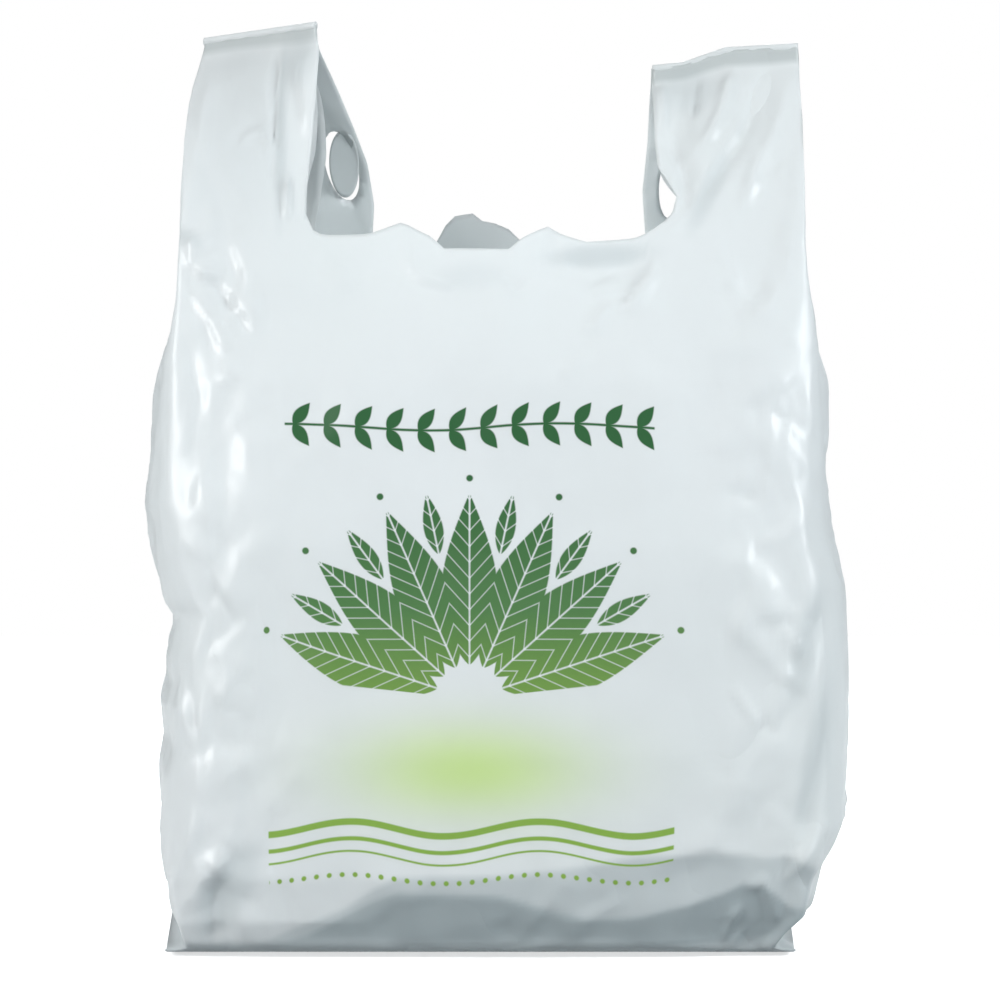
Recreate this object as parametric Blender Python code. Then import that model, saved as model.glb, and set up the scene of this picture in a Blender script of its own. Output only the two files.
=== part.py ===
"""Plastic carrier bag of thin blown film: a gusseted tube sealed at the foot and
at the two handle tops, die-cut for the mouth, standing open on its base.

Frame: metres, +Z up, front towards -Y, standing on z = 0. The film is described
on its flat pattern. The first coordinate runs round the tube from the front
centre to the right. The second runs from the foot seal (-1) over the base edge
(0) up the walls, where it is the height.
"""

import math

import bmesh
import bpy
import numpy as np

# Flat pattern of the film
FLAT_WIDTH = 0.305
GUSSET = 0.089
STRAP = 0.068
WALL = 0.0005
MOUTH_CORNER = 0.010
HALF_FLAT = FLAT_WIDTH / 2
HALF_MOUTH = HALF_FLAT - STRAP
QUARTER = HALF_FLAT + GUSSET
ROUND = 4 * QUARTER

# Standing bag
TOP = 0.4580
MOUTH_HEIGHT = 0.3475
STRAP_LENGTH = TOP - MOUTH_HEIGHT
BASE_HALF_DEPTH = 0.742 * GUSSET
BASE_SHIFT = -0.008
PANEL_SHIFT = -0.0024
PANEL_STRETCH = 1.05
PANEL_SWELL = 0.006
EDGE_SWELL = 0.7
SIDE_INSET = 0.13
FLANK = 0.022
FOLD_STEP = 0.0010
FOLD_ROUND = 0.0006
HALF_GAP = 0.00045
BACK_STRAP_REACH = 0.073
LEFT_TURN = 0.62

# Base
BASE_FILM_Z = 0.00055
BASE_EDGE_RISE = 0.0020
BASE_EDGE_POWER = 6
BASE_EDGE_FADE = 0.006
BASE_PLY_GAP = 3 * HALF_GAP
TUCK_HEIGHT = 0.0042
SIDE_TUCK_HEIGHT = 0.024
SIDE_TUCK_POWER = 1.3
SIDE_TUCK_FADE = 0.045

# Distances from the mouth over which the walls draw in to straps
GATHER_BELOW = 0.0575
TUCK_BELOW = 0.0725
TUCK_ABOVE = 0.0075
TURN_FROM = 0.0225

# Seals
FILM_TOP_MARGIN = 0.002
SEAL_BAR_HEIGHT = 0.006
SEAL_BAR_THICK = 0.0044
SEAL_BAR_END = 0.0012
SEAL_CLEAR = 0.0015
SEAL_FOOT = TOP - SEAL_BAR_HEIGHT - SEAL_CLEAR
SEAL_CLOSE = 0.014
SEAL_DEPTH = 2 * HALF_GAP
FOOT_SEAL_DEPTH = 0.006
FOOT_SEAL_HEIGHT = 0.0036

# Punched holes in the back straps: distance out from the mouth's cut, share of the
# strap's length above the mouth, half width, half height, lean
LEFT_HOLE = (-0.0051, 0.392, 0.0080, 0.0167, math.radians(15))
RIGHT_HOLE = (0.0040, 0.294, 0.0056, 0.0143, 0.0)
HOLE_SEGMENTS = 20
HOLE_START = 0.004
HOLE_END = 0.120

# Outline seen from the front: share of the height, distance out from the flat width
LEFT_OUTLINE = (
    (0.009, 0.0067), (0.039, 0.0115), (0.098, 0.0155), (0.150, 0.0168),
    (0.191, 0.0158), (0.221, 0.0138), (0.263, 0.0153), (0.291, 0.0123),
    (0.319, 0.0133), (0.343, 0.0108), (0.360, 0.0098), (0.374, 0.0143),
    (0.395, 0.0173), (0.434, 0.0213), (0.478, 0.0229), (0.543, 0.0208),
    (0.632, 0.0178), (0.708, 0.0138), (0.756, 0.0113), (0.788, 0.0088),
    (0.871, 0.0063), (0.914, 0.0038), (0.940, 0.0013), (0.985, -0.0050),
)
RIGHT_OUTLINE = (
    (0.009, -0.0095), (0.020, -0.0055), (0.043, 0.0055), (0.083, 0.0105),
    (0.106, 0.0155), (0.137, 0.0229), (0.206, 0.0223), (0.271, 0.0229),
    (0.326, 0.0218), (0.391, 0.0208), (0.434, 0.0168), (0.467, 0.0143),
    (0.499, 0.0128), (0.643, 0.0128), (0.686, 0.0118), (0.719, 0.0093),
    (0.762, 0.0068), (0.795, 0.0053), (0.849, 0.0033), (0.893, 0.0018),
    (0.929, -0.0007), (0.975, -0.0022),
)

# Half depth of the walls at the front and at the back: share of the height, share
# of the gusset's ply
FRONT_DEPTH = (
    (0.000, 0.753), (0.013, 0.831), (0.039, 0.899), (0.087, 0.944),
    (0.217, 0.978), (0.434, 0.944), (0.608, 0.809), (0.755, 0.607),
    (0.825, 0.472), (0.890, 0.292), (0.955, 0.101), (1.000, 0.020),
)
BACK_DEPTH = (
    (0.000, 0.753), (0.013, 0.831), (0.039, 0.888), (0.087, 0.921),
    (0.217, 0.955), (0.434, 0.933), (0.608, 0.809), (0.755, 0.629),
    (0.825, 0.494), (0.890, 0.315), (0.955, 0.112), (1.000, 0.020),
)

# Inner edges of the four straps: share of the strap's length, distance out from
# the mouth's cut
FRONT_LEFT_EDGE = (
    (0.00, 0.0085), (0.20, 0.0085), (0.33, 0.0075), (0.56, 0.0051),
    (0.82, 0.0035), (1.00, 0.0055),
)
FRONT_RIGHT_EDGE = (
    (-0.07, -0.0100), (0.02, -0.0097), (0.13, 0.0011), (0.22, 0.0037),
    (0.36, -0.0055), (0.49, -0.0065), (1.00, -0.0068),
)
BACK_LEFT_EDGE = (
    (0.00, -0.0205), (0.22, -0.0218), (0.40, -0.0185), (0.54, -0.0125),
    (0.69, -0.0052), (0.87, 0.0042), (1.00, 0.0055),
)
BACK_RIGHT_EDGE = (
    (0.00, -0.0075), (0.08, -0.0081), (0.31, -0.0101), (0.55, -0.0080),
    (1.00, -0.0068),
)

# Handle tops: share of the strap from its inner edge, height above the highest point
LEFT_TOP = ((0.00, 0.0000), (1.00, -0.0035))
RIGHT_TOP = ((0.00, -0.0195), (0.21, -0.0180), (0.50, -0.0105), (1.00, -0.0085))

# Mouth edge: share of the mouth's half width, height above the straight cut
FRONT_MOUTH = (
    (-0.95, 0.0020), (-0.65, 0.0030), (-0.45, 0.0085), (-0.28, 0.0010),
    (-0.21, -0.0050), (0.17, -0.0050), (0.26, 0.0020), (0.37, 0.0088),
    (0.47, 0.0040), (0.62, -0.0010), (0.95, 0.0010),
)
BACK_MOUTH = (
    (-0.95, 0.0010), (-0.36, 0.0030), (-0.30, 0.0120), (-0.18, 0.0185),
    (-0.02, 0.0200), (0.13, 0.0180), (0.24, 0.0110), (0.28, 0.0030),
    (0.95, 0.0010),
)
GUSSET_MOUTH = 0.0010
MOUTH_REACH_DOWN = 0.045
MOUTH_REACH_UP = 0.040
MOUTH_REACH_SIDE = 0.030

# Rounding of the ring's corners along the film: share of the height, width
CORNER_SPREAD = (
    (0.000, 0.0008), (0.026, 0.0030), (0.065, 0.0070), (0.152, 0.0150),
    (0.434, 0.0180), (0.608, 0.0120), (0.738, 0.0050), (0.825, 0.0020),
    (0.912, 0.0008), (1.000, 0.0003),
)

# Folds pressed into the film: two ends as shares of the flat half width and of the
# mouth's height, half width, depth inwards
FRONT_FOLDS = (
    ((0.53, 0.98), (0.39, 0.90), 0.008, 0.0035),
    ((0.39, 0.96), (0.26, 0.86), 0.009, 0.0030),
    ((-0.60, 0.99), (-0.46, 0.92), 0.008, 0.0025),
    ((-0.98, 0.95), (-0.80, 0.86), 0.010, 0.0050),
    ((-1.05, 0.93), (-0.92, 0.83), 0.009, -0.0035),
    ((-1.02, 0.46), (-0.94, 0.28), 0.009, 0.0040),
    ((-1.07, 0.06), (-0.85, 0.22), 0.011, 0.0060),
    ((-0.98, 0.04), (-0.73, 0.12), 0.010, -0.0040),
    ((0.75, 0.37), (0.90, 0.31), 0.010, 0.0050),
    ((0.90, 0.31), (1.04, 0.51), 0.011, 0.0055),
    ((0.98, 0.16), (1.08, 0.43), 0.010, 0.0050),
    ((0.73, 0.02), (0.85, 0.10), 0.010, 0.0050),
    ((0.92, 0.75), (1.08, 0.68), 0.010, 0.0040),
    ((0.98, 0.65), (0.84, 0.59), 0.010, 0.0035),
    ((0.72, 0.66), (0.87, 0.64), 0.010, 0.0035),
    ((-0.13, 1.02), (-0.08, 0.94), 0.009, 0.0030),
    ((0.17, 1.02), (0.17, 0.94), 0.008, -0.0040),
)
BACK_FOLDS = (
    ((-0.53, 0.98), (-0.33, 0.86), 0.010, 0.0035),
    ((0.56, 0.98), (0.39, 0.88), 0.010, 0.0035),
    ((-0.98, 0.09), (-0.72, 0.26), 0.012, 0.0050),
    ((0.98, 0.09), (0.75, 0.27), 0.012, 0.0050),
    ((-0.98, 0.89), (-0.79, 0.78), 0.011, 0.0040),
    ((0.98, 0.86), (0.82, 0.73), 0.011, 0.0040),
    ((-0.26, 1.01), (-0.20, 0.91), 0.010, 0.0030),
)
FOLD_INSET = 0.8

# Columns of the film grid on one front half, as shares of the mouth's half width and
# of the strap, and rows as shares of the mouth's height and of the strap's length up
# to the seal
PANEL_COLUMNS = (0.0, 0.20, 0.40, 0.59, 0.76, 0.89, 0.97, 1.0)
STRAP_COLUMNS = (0.20, 0.40, 0.61, 0.82)
GUSSET_COLUMNS = 5
WALL_ROWS = (
    0.012, 0.035, 0.075, 0.130, 0.187, 0.247, 0.308, 0.368, 0.426, 0.475,
    0.524, 0.584, 0.647, 0.711, 0.771, 0.826, 0.875, 0.921, 0.961, 1.0,
)
STRAP_ROWS = (0.14, 0.28, 0.41, 0.56, 0.70, 0.84, 1.0)

# Dense table that the grid is read from
TABLE_COLUMNS = 1932
TABLE_WALL_ROWS = 231
TABLE_BASE_ROWS = 49
FILM_COLOUR = (0.78, 0.82, 0.84, 1.0)
FILM_ROUGHNESS = 0.32
WALL_CLAMP = 0.9


def along(table, at):
    """The table's second column at the given places, straight between its points."""
    keys, values = np.array(table).T
    return np.interp(at, keys, values)


def smooth_step(at, low, high):
    share = np.clip((at - low) / (high - low), 0, 1)
    return share * share * (3 - 2 * share)


def flat_side(s):
    """The side (-1 left, 1 right), the distance from the centre line on the film
    lying flat with tucked gussets, and whether the point is on the back half."""
    turn = np.mod(s, ROUND)
    side = np.where(turn > 2 * QUARTER, -1.0, 1.0)
    turn = np.where(turn > 2 * QUARTER, ROUND - turn, turn)
    back = turn > QUARTER
    turn = np.where(back, 2 * QUARTER - turn, turn)
    inner = np.where(turn > HALF_FLAT, 2 * HALF_FLAT - turn, turn)
    return side, inner, back


def gusset_distance(s):
    """Distance along the film from the nearer gusset's middle crease."""
    return np.abs(np.mod(s, 2 * QUARTER) - QUARTER)


def strap_height(side, inner, level):
    """Height above ground of a level of the pattern, which the straps stretch."""
    reach = np.clip((inner - HALF_MOUTH) / STRAP, 0, 1)
    top = np.where(side < 0, along(LEFT_TOP, reach), along(RIGHT_TOP, reach))
    return level + top * np.clip((level - MOUTH_HEIGHT) / STRAP_LENGTH, 0, 1)


def gathered(level):
    """How far the walls have drawn in to straps at a level, from 0 to 1."""
    return smooth_step(level, MOUTH_HEIGHT - GATHER_BELOW, MOUTH_HEIGHT)


def panel_depths(level):
    """Half depths of the front and back walls at a level, and the panels' swell."""
    closed = smooth_step(level, SEAL_FOOT - SEAL_CLOSE, SEAL_FOOT)
    depths = [GUSSET * along(table, level / TOP) for table in (FRONT_DEPTH, BACK_DEPTH)]
    front, back = (depth + (SEAL_DEPTH - depth) * closed for depth in depths)
    return front, back, PANEL_SWELL * (1 - gathered(level))


def half_ring(side, level):
    """Corner points of one half of the level ring: pattern place, x, y, height."""
    outline, front_edge, back_edge = (
        (LEFT_OUTLINE, FRONT_LEFT_EDGE, BACK_LEFT_EDGE) if side < 0
        else (RIGHT_OUTLINE, FRONT_RIGHT_EDGE, BACK_RIGHT_EDGE)
    )
    height = float(strap_height(side, HALF_FLAT - STRAP / 2, level))
    rise = (height - MOUTH_HEIGHT) / STRAP_LENGTH
    front, back, swell = panel_depths(level)
    strap = gathered(level)
    tucked = smooth_step(level, MOUTH_HEIGHT - TUCK_BELOW, MOUTH_HEIGHT + TUCK_ABOVE)
    turn = smooth_step(level, MOUTH_HEIGHT + TURN_FROM, TOP) * (LEFT_TURN if side < 0 else 0)
    outer = side * (HALF_FLAT + float(along(outline, height / TOP)))
    front_x = outer - side * SIDE_INSET * front
    panel_in = PANEL_SHIFT + side * HALF_MOUTH * PANEL_STRETCH
    front_in = panel_in + (side * (HALF_MOUTH + along(front_edge, rise)) - panel_in) * strap
    strap_in = side * (HALF_MOUTH + along(back_edge, rise))
    back_in = panel_in + (strap_in - panel_in) * strap
    back_x = outer - side * SIDE_INSET * back
    strap_out = strap_in + side * min(abs(outer - strap_in), BACK_STRAP_REACH)
    back_x += (strap_out - back_x) * strap
    middle = (front_x + back_x) / 2
    half = math.hypot((front_x - back_x) / 2, (front + back) / 2)
    reach = math.sqrt(max(GUSSET ** 2 - half ** 2, 0)) * abs(front_x - front_in) / STRAP
    gusset_x = outer + (middle - side * reach - outer) * tucked
    gusset_y = (back - front) / 2
    share = FLANK / GUSSET
    flank_front = front_x + (gusset_x - front_x) * share
    flank_back = back_x + (gusset_x - back_x) * share
    flank_back += (outer - flank_back) * (1 - tucked)
    cut = STRAP / GUSSET
    cut_front = front_x + (gusset_x - front_x) * cut
    cut_back = back_x + (gusset_x - back_x) * cut
    front_half = [
        (HALF_MOUTH, front_in, -front - HALF_GAP - swell * EDGE_SWELL),
        (HALF_FLAT - FOLD_STEP, front_x, -front - HALF_GAP),
        (HALF_FLAT, front_x + side * FOLD_ROUND, -front),
        (HALF_FLAT + FOLD_STEP, front_x, -front + HALF_GAP),
        (HALF_FLAT + FLANK, flank_front, min(-front * (1 - share), -HALF_GAP)),
        (HALF_FLAT + STRAP, cut_front, min(-front + (gusset_y + front) * cut, -HALF_GAP)),
        (QUARTER, gusset_x, gusset_y),
    ]
    back_half = [
        (HALF_FLAT + STRAP, cut_back, max(back + (gusset_y - back) * cut, HALF_GAP)),
        (HALF_FLAT + FLANK, flank_back, max(back * (1 - share), HALF_GAP)),
        (HALF_FLAT + FOLD_STEP, back_x, back - HALF_GAP),
        (HALF_FLAT, back_x + side * FOLD_ROUND, back),
        (HALF_FLAT - FOLD_STEP, back_x, back + HALF_GAP),
        (HALF_MOUTH, back_in, back + HALF_GAP + swell * EDGE_SWELL),
    ]
    points = front_half + [(2 * QUARTER - s, x, y) for s, x, y in back_half]
    pivot = (front_in + front_x) / 2
    return [(s, x, y + turn * side * (x - pivot), 0.0) for s, x, y in points]


def wall_ring(level):
    """The closed ring of the walls at one level, as points evenly along the film."""
    front, back, swell = panel_depths(level)
    centre = PANEL_SHIFT + (BASE_SHIFT - PANEL_SHIFT) * gathered(level)
    right = half_ring(1, level)
    left = [(ROUND - s, x, y, z) for s, x, y, z in reversed(half_ring(-1, level))]
    ring = [(0.0, centre, -front - HALF_GAP - swell, 0.0)] + right
    ring += [(2 * QUARTER, centre, back + HALF_GAP + swell, 0.0)] + left
    return spread(ring, along(CORNER_SPREAD, level / TOP))


def base_ring(share):
    """The closed ring of the base, from the foot seal (0) to the base edge (1)."""
    depth = BASE_HALF_DEPTH * share
    flat = BASE_FILM_Z + BASE_EDGE_RISE * share ** BASE_EDGE_POWER
    tuck = HALF_FLAT - GUSSET * (1 - share)
    crease = flat + BASE_PLY_GAP + TUCK_HEIGHT * math.sin(math.pi * share)
    ridge = flat + BASE_PLY_GAP + SIDE_TUCK_HEIGHT * share ** SIDE_TUCK_POWER
    diagonal = HALF_FLAT + max(GUSSET * (1 - share), 2 * FOLD_STEP)
    ring = []
    for side in (1, -1):
        half = [
            (HALF_FLAT - FOLD_STEP, side * (HALF_FLAT - FOLD_STEP), -depth, flat),
            (HALF_FLAT, side * HALF_FLAT, -depth, flat + BASE_PLY_GAP / 2),
            (HALF_FLAT + FOLD_STEP, side * (HALF_FLAT - FOLD_STEP), -depth, flat + BASE_PLY_GAP),
            (diagonal, side * tuck, -depth, crease),
        ]
        mirrored = [(2 * QUARTER - s, x, -y, z) for s, x, y, z in reversed(half)]
        if share < 1:
            half.append((QUARTER, side * tuck, 0.0, ridge))
        else:
            half[3] = (QUARTER, side * tuck, 0.0, ridge)
            mirrored = mirrored[1:]
        half = half + mirrored
        if side > 0:
            ring = [(0.0, 0.0, -depth, flat)] + half + [(2 * QUARTER, 0.0, depth, flat)]
        else:
            ring += [(ROUND - s, x, y, z) for s, x, y, z in reversed(half)]
    ring = [(s, x + BASE_SHIFT, y, z) for s, x, y, z in ring]
    return spread(ring, 0.0)


def spread(ring, width):
    """The ring read evenly along the film, its corners rounded over the width."""
    table = np.array(ring)
    at = np.arange(TABLE_COLUMNS) * (ROUND / TABLE_COLUMNS)
    points = np.stack([np.interp(at, table[:, 0], table[:, k], period=ROUND) for k in (1, 2, 3)], 1)
    if width:
        wave = np.fft.rfftfreq(TABLE_COLUMNS, ROUND / TABLE_COLUMNS)
        kernel = np.exp(-2 * (math.pi * wave * width) ** 2)[:, None]
        points = np.fft.irfft(np.fft.rfft(points, axis=0) * kernel, TABLE_COLUMNS, axis=0)
    return points


def film_table():
    """Rings of the whole bag stacked from the foot seal to the handle tops."""
    at = np.arange(TABLE_COLUMNS) * (ROUND / TABLE_COLUMNS)
    side, inner, _ = flat_side(at)
    gusset = np.clip(1 - gusset_distance(at) / GUSSET, 0, 1)
    rings = [base_ring(share) for share in np.linspace(0, 1, TABLE_BASE_ROWS)]
    edge = rings[-1][:, 2]
    for level in np.linspace(0, TOP, TABLE_WALL_ROWS)[1:]:
        ring = wall_ring(level)
        lift = SIDE_TUCK_HEIGHT * math.exp(-level / SIDE_TUCK_FADE) * gusset
        base_lift = edge * math.exp(-level / BASE_EDGE_FADE) * (1 - gusset)
        ring[:, 2] = strap_height(side, inner, level) + lift + base_lift
        rings.append(ring)
    return np.array(rings)


def read_table(table, s, level):
    """Points of the film at pattern places, read between the table's rings."""
    column = np.mod(s, ROUND) / ROUND * TABLE_COLUMNS
    row = np.where(
        level < 0,
        (level + 1) * (TABLE_BASE_ROWS - 1),
        TABLE_BASE_ROWS - 1 + np.clip(level, 0, TOP) / TOP * (TABLE_WALL_ROWS - 1),
    )
    low_column = np.floor(column).astype(int)
    low_row = np.minimum(np.floor(row).astype(int), len(table) - 2)
    across = (column - low_column)[..., None]
    up = (row - low_row)[..., None]
    next_column = (low_column + 1) % TABLE_COLUMNS
    low_column = low_column % TABLE_COLUMNS
    lower = table[low_row, low_column] * (1 - across) + table[low_row, next_column] * across
    upper = table[low_row + 1, low_column] * (1 - across) + table[low_row + 1, next_column] * across
    return lower * (1 - up) + upper * up


def mouth_shift(s, level):
    """How far the die-cut mouth edge lifts the film at a place, fading away from it."""
    side, inner, back = flat_side(s)
    share = side * inner / HALF_MOUTH
    edge = np.where(back, along(BACK_MOUTH, share), along(FRONT_MOUTH, share))
    edge = np.where(gusset_distance(s) < GUSSET, GUSSET_MOUTH, edge)
    into = np.clip(inner - (HALF_MOUTH - MOUTH_CORNER), 0, MOUTH_CORNER)
    corner = MOUTH_CORNER - np.sqrt(MOUTH_CORNER ** 2 - into ** 2)
    outside = np.clip((inner - HALF_MOUTH) / MOUTH_REACH_SIDE, 0, 1)
    above = level - MOUTH_HEIGHT
    near = np.clip(1 - np.maximum(above / MOUTH_REACH_UP, -above / MOUTH_REACH_DOWN), 0, 1)
    return (edge + corner) * (1 - outside) ** 2 * near


def pressed(points, folds, towards):
    """The points moved in y by the folds, each fading from its middle line."""
    unit = np.array([HALF_FLAT, MOUTH_HEIGHT])
    for first, last, width, depth in folds:
        first, last = np.array(first) * unit, np.array(last) * unit
        reach = last - first
        place = points[..., [0, 2]] - first
        share = place @ reach / (reach @ reach)
        nearest = np.clip(share, 0, 1)[..., None] * reach
        away = np.linalg.norm(place - nearest, axis=-1) / width
        points[..., 1] += towards * depth * np.exp(-away ** 2)
    return points


def film_places():
    """Pattern places of the grid's columns round the tube, and its levels. Across the
    base, a row lies at each place where a column meets the gusset's diagonal fold."""
    columns = [HALF_MOUTH * share for share in PANEL_COLUMNS]
    columns += [HALF_MOUTH + STRAP * share for share in STRAP_COLUMNS]
    columns += [HALF_FLAT - FOLD_STEP, HALF_FLAT, HALF_FLAT + FOLD_STEP]
    offsets = [STRAP * k / GUSSET_COLUMNS for k in range(1, GUSSET_COLUMNS + 1)]
    offsets += [(STRAP + GUSSET) / 2, GUSSET]
    half = columns + [HALF_FLAT + offset for offset in offsets]
    half += [2 * QUARTER - s for s in reversed(half[:-1])]
    columns = np.array(half + [ROUND - s for s in reversed(half[1:-1])])
    levels = [-offset / GUSSET for offset in reversed(offsets)] + [0.0]
    levels += [MOUTH_HEIGHT * share for share in WALL_ROWS]
    levels += [MOUTH_HEIGHT + (SEAL_FOOT - MOUTH_HEIGHT) * share for share in STRAP_ROWS]
    return columns, np.array(levels + [TOP - FILM_TOP_MARGIN])


def film_grid():
    """Grid places and points of the film, and which grid cells the die leaves."""
    columns, levels = film_places()
    s, level = np.meshgrid(columns, levels)
    points = read_table(film_table(), s, level + mouth_shift(s, level))
    _, _, back = flat_side(s)
    panel = (gusset_distance(s) > GUSSET * FOLD_INSET) & (level > 0)
    points[panel & ~back] = pressed(points[panel & ~back], FRONT_FOLDS, 1)
    points[panel & back] = pressed(points[panel & back], BACK_FOLDS, -1)
    middle = (columns + np.append(columns[1:], ROUND)) / 2
    _, inner, _ = flat_side(middle)
    kept = (inner > HALF_MOUTH)[None, :] | (levels[1:] < MOUTH_HEIGHT + FOLD_STEP)[:, None]
    return columns, points, kept


def mesh_object(name, vertices, faces):
    mesh = bpy.data.meshes.new(name)
    mesh.from_pydata([tuple(map(float, v)) for v in vertices], [], faces)
    mesh.update()
    made = bpy.data.objects.new(name, mesh)
    bpy.context.scene.collection.objects.link(made)
    return made


def tool_object(name, vertices, faces):
    """A closed helper shape for a Boolean, hidden from the render."""
    made = mesh_object(name, vertices, faces)
    work = bmesh.new()
    work.from_mesh(made.data)
    bmesh.ops.recalc_face_normals(work, faces=work.faces[:])
    work.to_mesh(made.data)
    work.free()
    made.hide_render = True
    made.display_type = "WIRE"
    return made


def film_sheet(name):
    """The film as one sheet without thickness: the tube, zipped along the foot seal."""
    columns, points, kept = film_grid()
    rows, count = points.shape[:2]
    index = np.arange(rows * count).reshape(rows, count)
    mirror = [int(np.argmin(np.abs(np.mod(2 * QUARTER - s, ROUND) - columns))) for s in columns]
    index[0] = [min(k, mirror[k]) for k in range(count)]
    tips = [k for k in range(count) if mirror[k] == k]
    faces = []
    for row in range(rows - 1):
        for column in range(count):
            if not kept[row, column]:
                continue
            after = (column + 1) % count
            corners = [index[row, column], index[row, after], index[row + 1, after], index[row + 1, column]]
            corners = [int(c) for k, c in enumerate(corners) if c != corners[k - 1]]
            if row == 0 and after in tips:
                faces += [[corners[0], corners[1], corners[3]], corners[1:]]
            elif row == 0 and column in tips:
                faces += [corners[:3], [corners[0], corners[2], corners[3]]]
            else:
                faces.append(corners)
    sheet = mesh_object(name, points.reshape(-1, 3), faces)
    work = bmesh.new()
    work.from_mesh(sheet.data)
    bmesh.ops.delete(work, geom=[v for v in work.verts if not v.link_faces], context="VERTS")
    bmesh.ops.triangulate(work, faces=work.faces[:], quad_method="BEAUTY")
    work.to_mesh(sheet.data)
    work.free()
    return sheet


def bar(name, stations):
    """A closed bar through stations of four corners each."""
    vertices = [corner for station in stations for corner in station]
    faces = [(0, 1, 2, 3)]
    for k in range(len(stations) - 1):
        for c in range(4):
            d = (c + 1) % 4
            faces.append((4 * k + c, 4 * k + 4 + c, 4 * k + 4 + d, 4 * k + d))
    last = 4 * (len(stations) - 1)
    faces.append((last + 3, last + 2, last + 1, last))
    return tool_object(name, vertices, faces)


def top_seal(name, side):
    """The seal bar across the top of one handle, round its four plies of film."""
    ring = half_ring(side, TOP)
    inner = np.array(ring[0][1:3]) + np.array([0.0, 3 * HALF_GAP])
    outer = np.array(ring[2][1:3]) + np.array([0.0, 2 * HALF_GAP])
    way = (outer - inner) / np.linalg.norm(outer - inner)
    across = np.array([-way[1], way[0]]) * SEAL_BAR_THICK / 2
    stations = []
    for share, drop in LEFT_TOP if side < 0 else RIGHT_TOP:
        centre = inner + (outer - inner) * share
        if share in (0, 1):
            centre = centre + way * SEAL_BAR_END * (2 * share - 1)
        high = TOP + drop
        low = high - SEAL_BAR_HEIGHT
        stations.append([
            (*(centre - across), low), (*(centre + across), low),
            (*(centre + across), high), (*(centre - across), high),
        ])
    return bar(name, stations)


def foot_seal(name):
    """The seal along the middle of the base, with the trimmed edge folded flat."""
    half = FOOT_SEAL_DEPTH / 2
    stations = []
    for x in (BASE_SHIFT - HALF_FLAT - FOLD_STEP, BASE_SHIFT + HALF_FLAT + FOLD_STEP):
        stations.append([
            (x, -half, 0.0), (x, half, 0.0), (x, half, FOOT_SEAL_HEIGHT), (x, -half, FOOT_SEAL_HEIGHT),
        ])
    return bar(name, stations)


def punch(name, side, hole):
    """An oval punch through a back strap, running back from inside the bag."""
    out, share, half_width, half_height, lean = hole
    x = side * (HALF_MOUTH + out)
    z = MOUTH_HEIGHT + STRAP_LENGTH * share
    rings = []
    for y in (HOLE_START, HOLE_END):
        ring = []
        for k in range(HOLE_SEGMENTS):
            angle = 2 * math.pi * k / HOLE_SEGMENTS
            across = half_width * math.cos(angle)
            up = half_height * math.sin(angle)
            ring.append((
                x + across * math.cos(lean) - up * math.sin(lean), y,
                z + across * math.sin(lean) + up * math.cos(lean),
            ))
        rings.append(ring)
    faces = [tuple(range(HOLE_SEGMENTS)), tuple(reversed(range(HOLE_SEGMENTS, 2 * HOLE_SEGMENTS)))]
    for k in range(HOLE_SEGMENTS):
        after = (k + 1) % HOLE_SEGMENTS
        faces.append((k, k + HOLE_SEGMENTS, after + HOLE_SEGMENTS, after))
    return tool_object(name, rings[0] + rings[1], faces)


def boolean(target, tool, operation):
    modifier = target.modifiers.new(tool.name, "BOOLEAN")
    modifier.operation = operation
    modifier.object = tool
    modifier.solver = "EXACT"


def film_material():
    material = bpy.data.materials.new("film")
    material.use_nodes = True
    shader = material.node_tree.nodes["Principled BSDF"]
    shader.inputs["Base Color"].default_value = FILM_COLOUR
    shader.inputs["Roughness"].default_value = FILM_ROUGHNESS
    material.diffuse_color = FILM_COLOUR
    return material


def build():
    for old in list(bpy.data.objects):
        bpy.data.objects.remove(old, do_unlink=True)
    bag = film_sheet("bag")
    thick = bag.modifiers.new("film wall", "SOLIDIFY")
    thick.thickness = WALL
    thick.offset = 0.0
    thick.use_even_offset = False
    thick.thickness_clamp = WALL_CLAMP
    boolean(bag, top_seal("left top seal", -1), "UNION")
    boolean(bag, top_seal("right top seal", 1), "UNION")
    boolean(bag, foot_seal("foot seal"), "UNION")
    boolean(bag, punch("left punch", -1, LEFT_HOLE), "DIFFERENCE")
    boolean(bag, punch("right punch", 1, RIGHT_HOLE), "DIFFERENCE")
    bag.data.materials.append(film_material())
    for polygon in bag.data.polygons:
        polygon.use_smooth = True


build()
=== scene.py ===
"""Plastic carrier bag of blown film, dressed over its CAD solid: the creased film
with its print, the pressed seals, a plain stage, lamps and the camera."""

import math  # noqa: E402

import bpy  # noqa: E402
import numpy as np  # noqa: E402
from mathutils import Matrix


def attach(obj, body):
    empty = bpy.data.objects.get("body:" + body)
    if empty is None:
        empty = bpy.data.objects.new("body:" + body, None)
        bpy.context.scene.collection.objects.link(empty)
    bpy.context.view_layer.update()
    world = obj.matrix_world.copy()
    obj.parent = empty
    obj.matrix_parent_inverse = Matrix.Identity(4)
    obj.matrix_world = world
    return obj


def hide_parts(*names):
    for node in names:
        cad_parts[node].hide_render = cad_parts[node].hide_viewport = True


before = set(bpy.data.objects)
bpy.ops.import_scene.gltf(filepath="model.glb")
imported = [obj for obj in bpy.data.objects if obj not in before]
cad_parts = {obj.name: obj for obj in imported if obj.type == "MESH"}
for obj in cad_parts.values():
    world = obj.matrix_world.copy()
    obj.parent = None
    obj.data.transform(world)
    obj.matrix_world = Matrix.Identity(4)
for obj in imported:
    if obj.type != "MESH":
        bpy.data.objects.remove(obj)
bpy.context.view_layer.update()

bl_info = {
    "name": "Carrier bag",
    "version": (1, 0, 0),
    "blender": (4, 5, 0),
    "location": "View3D > Sidebar > Bag",
    "description": "Builds a standing carrier bag of creased film, its seals and its stage",
    "category": "Add Mesh",
}

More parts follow.
